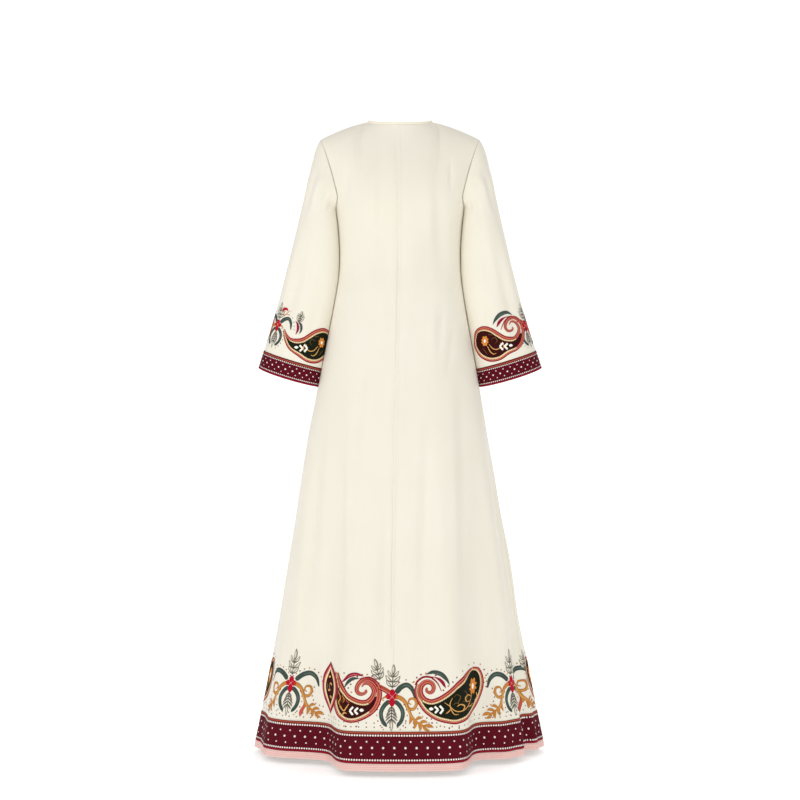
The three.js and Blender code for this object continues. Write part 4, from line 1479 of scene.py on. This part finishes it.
units = [
    {"spiral": -13.3, "height": 176, "side": 1, "head": "raisedHead", "stretch": (62, 112, 52)},
    {"spiral": 10.8, "height": 173, "side": -1, "head": "foldedHead", "stretch": (45, 88, 56)},
]
paisleyRun = rowNear(hemChart, border["paisleyLine"])
for k in (2, 4):
    for side in (1, -1):
        beside = columnBeyond(hemChart, paisleyRun, wrapped(flowers[k]), side * border["paisleyAway"])
        units.append({
            "spiral": beside, "height": 176, "side": side, "head": "raisedHead", "stretch": unstretched,
        })
for row in units:
    isRight = row["side"] > 0
    ground, tail = ("greenBlack", "innerSpiral") if isRight else ("redBlack", "outerSpiral")
    motif = paisley(ground, row["head"], tail, 2 if row["stretch"][2] else 1)
    motif += paisleyFilling(row["head"]) + plumes(isRight)
    if row["head"] == "foldedHead":
        motif += lens(75.5 - 64j, 74.5 + 51j, 33)
    lay(motif, hemChart, row["spiral"], row["height"], not isRight, stretch=row["stretch"])
    for places in paisleyDots(row["head"]):
        places = widened(places, row["stretch"])
        places = places.real * row["side"] + 1j * (places.imag + row["height"])
        for first, colour in enumerate(dotInks):
            layDots(colour, hemChart, row["spiral"], places[first::3], 2.0)

lay(fern(48, 12), hemChart, 5.2, 195, tilt=16)
layDotRows("brown", hemChart, 360, 180, [(94, 17, 1.6, 0)])
layDotRows("fern", hemChart, 360, 180, [(103, 17, 1.6, 0.5)])


# What else grows from the left sleeve's flower: a crimson bud, two ochre tendrils and two small plumes.
def sleeveSprig():
    return strokes(
        ("crimson", 4, [7 + 38j, 9 + 48j, 17 + 52j, 24 + 46j], 8.0, "leaf"),
        ("ochre", 3, [12 + 30j, 23 + 37j, 33 + 35j], 2.8, "taper"),
        ("ochre", 3, [18 + 34j, 27 + 46j, 34 + 50j], 2.4, "taper"),
        ("magenta", 4, [58 + 25j, 67 + 17j, 72 + 2j, 70 - 14j], 7.6, "leaf"),
        ("greyGreen", 3, [64 + 27j, 77 + 18j, 82 + 2j, 79 - 10j], 7.0, "leaf"),
    )


# Each sleeve has a flower on its outer side, a paisley to the back and one to the front. Places are turns
# round the sleeve, heights are mm above its edge.
sleevePrints = {
    1: {"flower": 0.207, "height": 115, "paisleys": [(1, "greenBlack", 0.43), (-1, "redBlack", -0.07)]},
    -1: {"flower": 0.150, "height": 112, "paisleys": [(1, "redBlack", 0.354), (-1, "greenBlack", -0.07)]},
}
onSleeve = {"flowerScale": 0.76, "paisleyScale": 0.95, "thin": 0.78, "height": 115, "tilt": 14, "fern": 50}
for side, chart in sleeveCharts.items():
    isLeft, look = side > 0, sleevePrints[side]
    flower = cluster(isLeft, False, onSleeve["fern"])
    if isLeft:
        flower += moved(sleeveSprig() + moved(fern(32, 10), 70 + 26j), 0, mirrored=True)
    lay(flower, chart, look["flower"], look["height"], isLeft, onSleeve["flowerScale"])
    for way, ground, place in look["paisleys"]:
        isRight, isPointed = side * way > 0, isLeft and way > 0
        tail = "pointedTail" if isPointed else "outerSpiral"
        motif = paisley(ground, "roundHead", tail, thin=onSleeve["thin"])
        motif += paisleyFilling("roundHead") + ([] if isPointed else plumes(True))
        tilt = onSleeve["tilt"] if isRight else -onSleeve["tilt"]
        lay(motif, chart, place, onSleeve["height"], not isRight, onSleeve["paisleyScale"], tilt)

for colour in laid:
    meshLaid(colour, inks[colour])

print("camera, floor and light")

# The camera behind the garment, at the photo's focal length in pixels, with lengths in mm.
photo = {"focalPixels": 1702, "pixels": 800, "sensor": 36, "distance": 3915, "height": -643}
cameraData = bpy.data.cameras.new("camera")
cameraData.sensor_width = photo["sensor"]
cameraData.lens = photo["sensor"] * photo["focalPixels"] / photo["pixels"]
camera = addObject("camera", cameraData)
camera.location = (0, photo["distance"] * mm, photo["height"] * mm)
camera.rotation_euler = (math.radians(90), 0, math.radians(180))
bpy.context.scene.camera = camera

studio = {
    "below": 14, "radius": 900, "reachBack": 4600, "reachFront": 6000, "half": 5200, "high": 5200,
    "colour": "#FBFBFA", "roughness": 0.9, "glow": 0.4, "world": 0.57,
}


# A pale floor that turns up into a backdrop behind the garment: a quarter circle carried sideways.
def studioFloor():
    radius, reachBack = studio["radius"], studio["reachBack"]
    bend = np.linspace(0, np.pi / 2, 24)
    y = np.concatenate([[studio["reachFront"]], -reachBack - radius * np.sin(bend), [-reachBack - radius]])
    z = np.concatenate([[0], radius * (1 - np.cos(bend)), [studio["high"]]])
    x, floorZ = np.array([-1, 1]) * studio["half"], garment["hemZ"] - studio["below"]
    points = np.stack(np.broadcast_arrays(x[None, :], y[:, None], z[:, None] + floorZ), -1)
    floor = makeGrid("studioFloor", points, points[..., :2])
    material = bpy.data.materials.new("paintedFloor")
    material.use_nodes = True
    shader = material.node_tree.nodes["Principled BSDF"]
    for name, value in (
        ("Base Color", linear(studio["colour"])), ("Roughness", studio["roughness"]),
        ("Emission Color", linear("#FFFFFF")), ("Emission Strength", studio["glow"]),
    ):
        shader.inputs[name].default_value = value
    floor.data.materials.append(material)


studioFloor()

world = bpy.data.worlds.new("studio")
world.use_nodes = True
background = world.node_tree.nodes["Background"].inputs
background["Color"].default_value = linear("#FFFFFF")
background["Strength"].default_value = studio["world"]
bpy.context.scene.world = world
bpy.context.scene.view_settings.view_transform = "Standard"

# Square lights that all look at the waist: where each stands and its size in metres, and its power.
waist = np.array([0, 0, -0.7])
for name, place, size, power in [
    ("key", (2.2, 2.6, 0.9), 1.2, 23),
    ("behind", (0.3, 4.2, 0.8), 2.0, 20),
    ("fill", (-2.6, 2.2, 0.0), 2.0, 9),
    ("front", (-0.8, -2.6, 1.4), 2.2, 24),
]:
    data = bpy.data.lights.new(name, "AREA")
    data.size = size
    data.energy = power
    light = addObject(name, data)
    light.location = place
    light.rotation_mode = "QUATERNION"
    light.rotation_quaternion = Vector(waist - np.array(place)).to_track_quat("-Z", "Y")
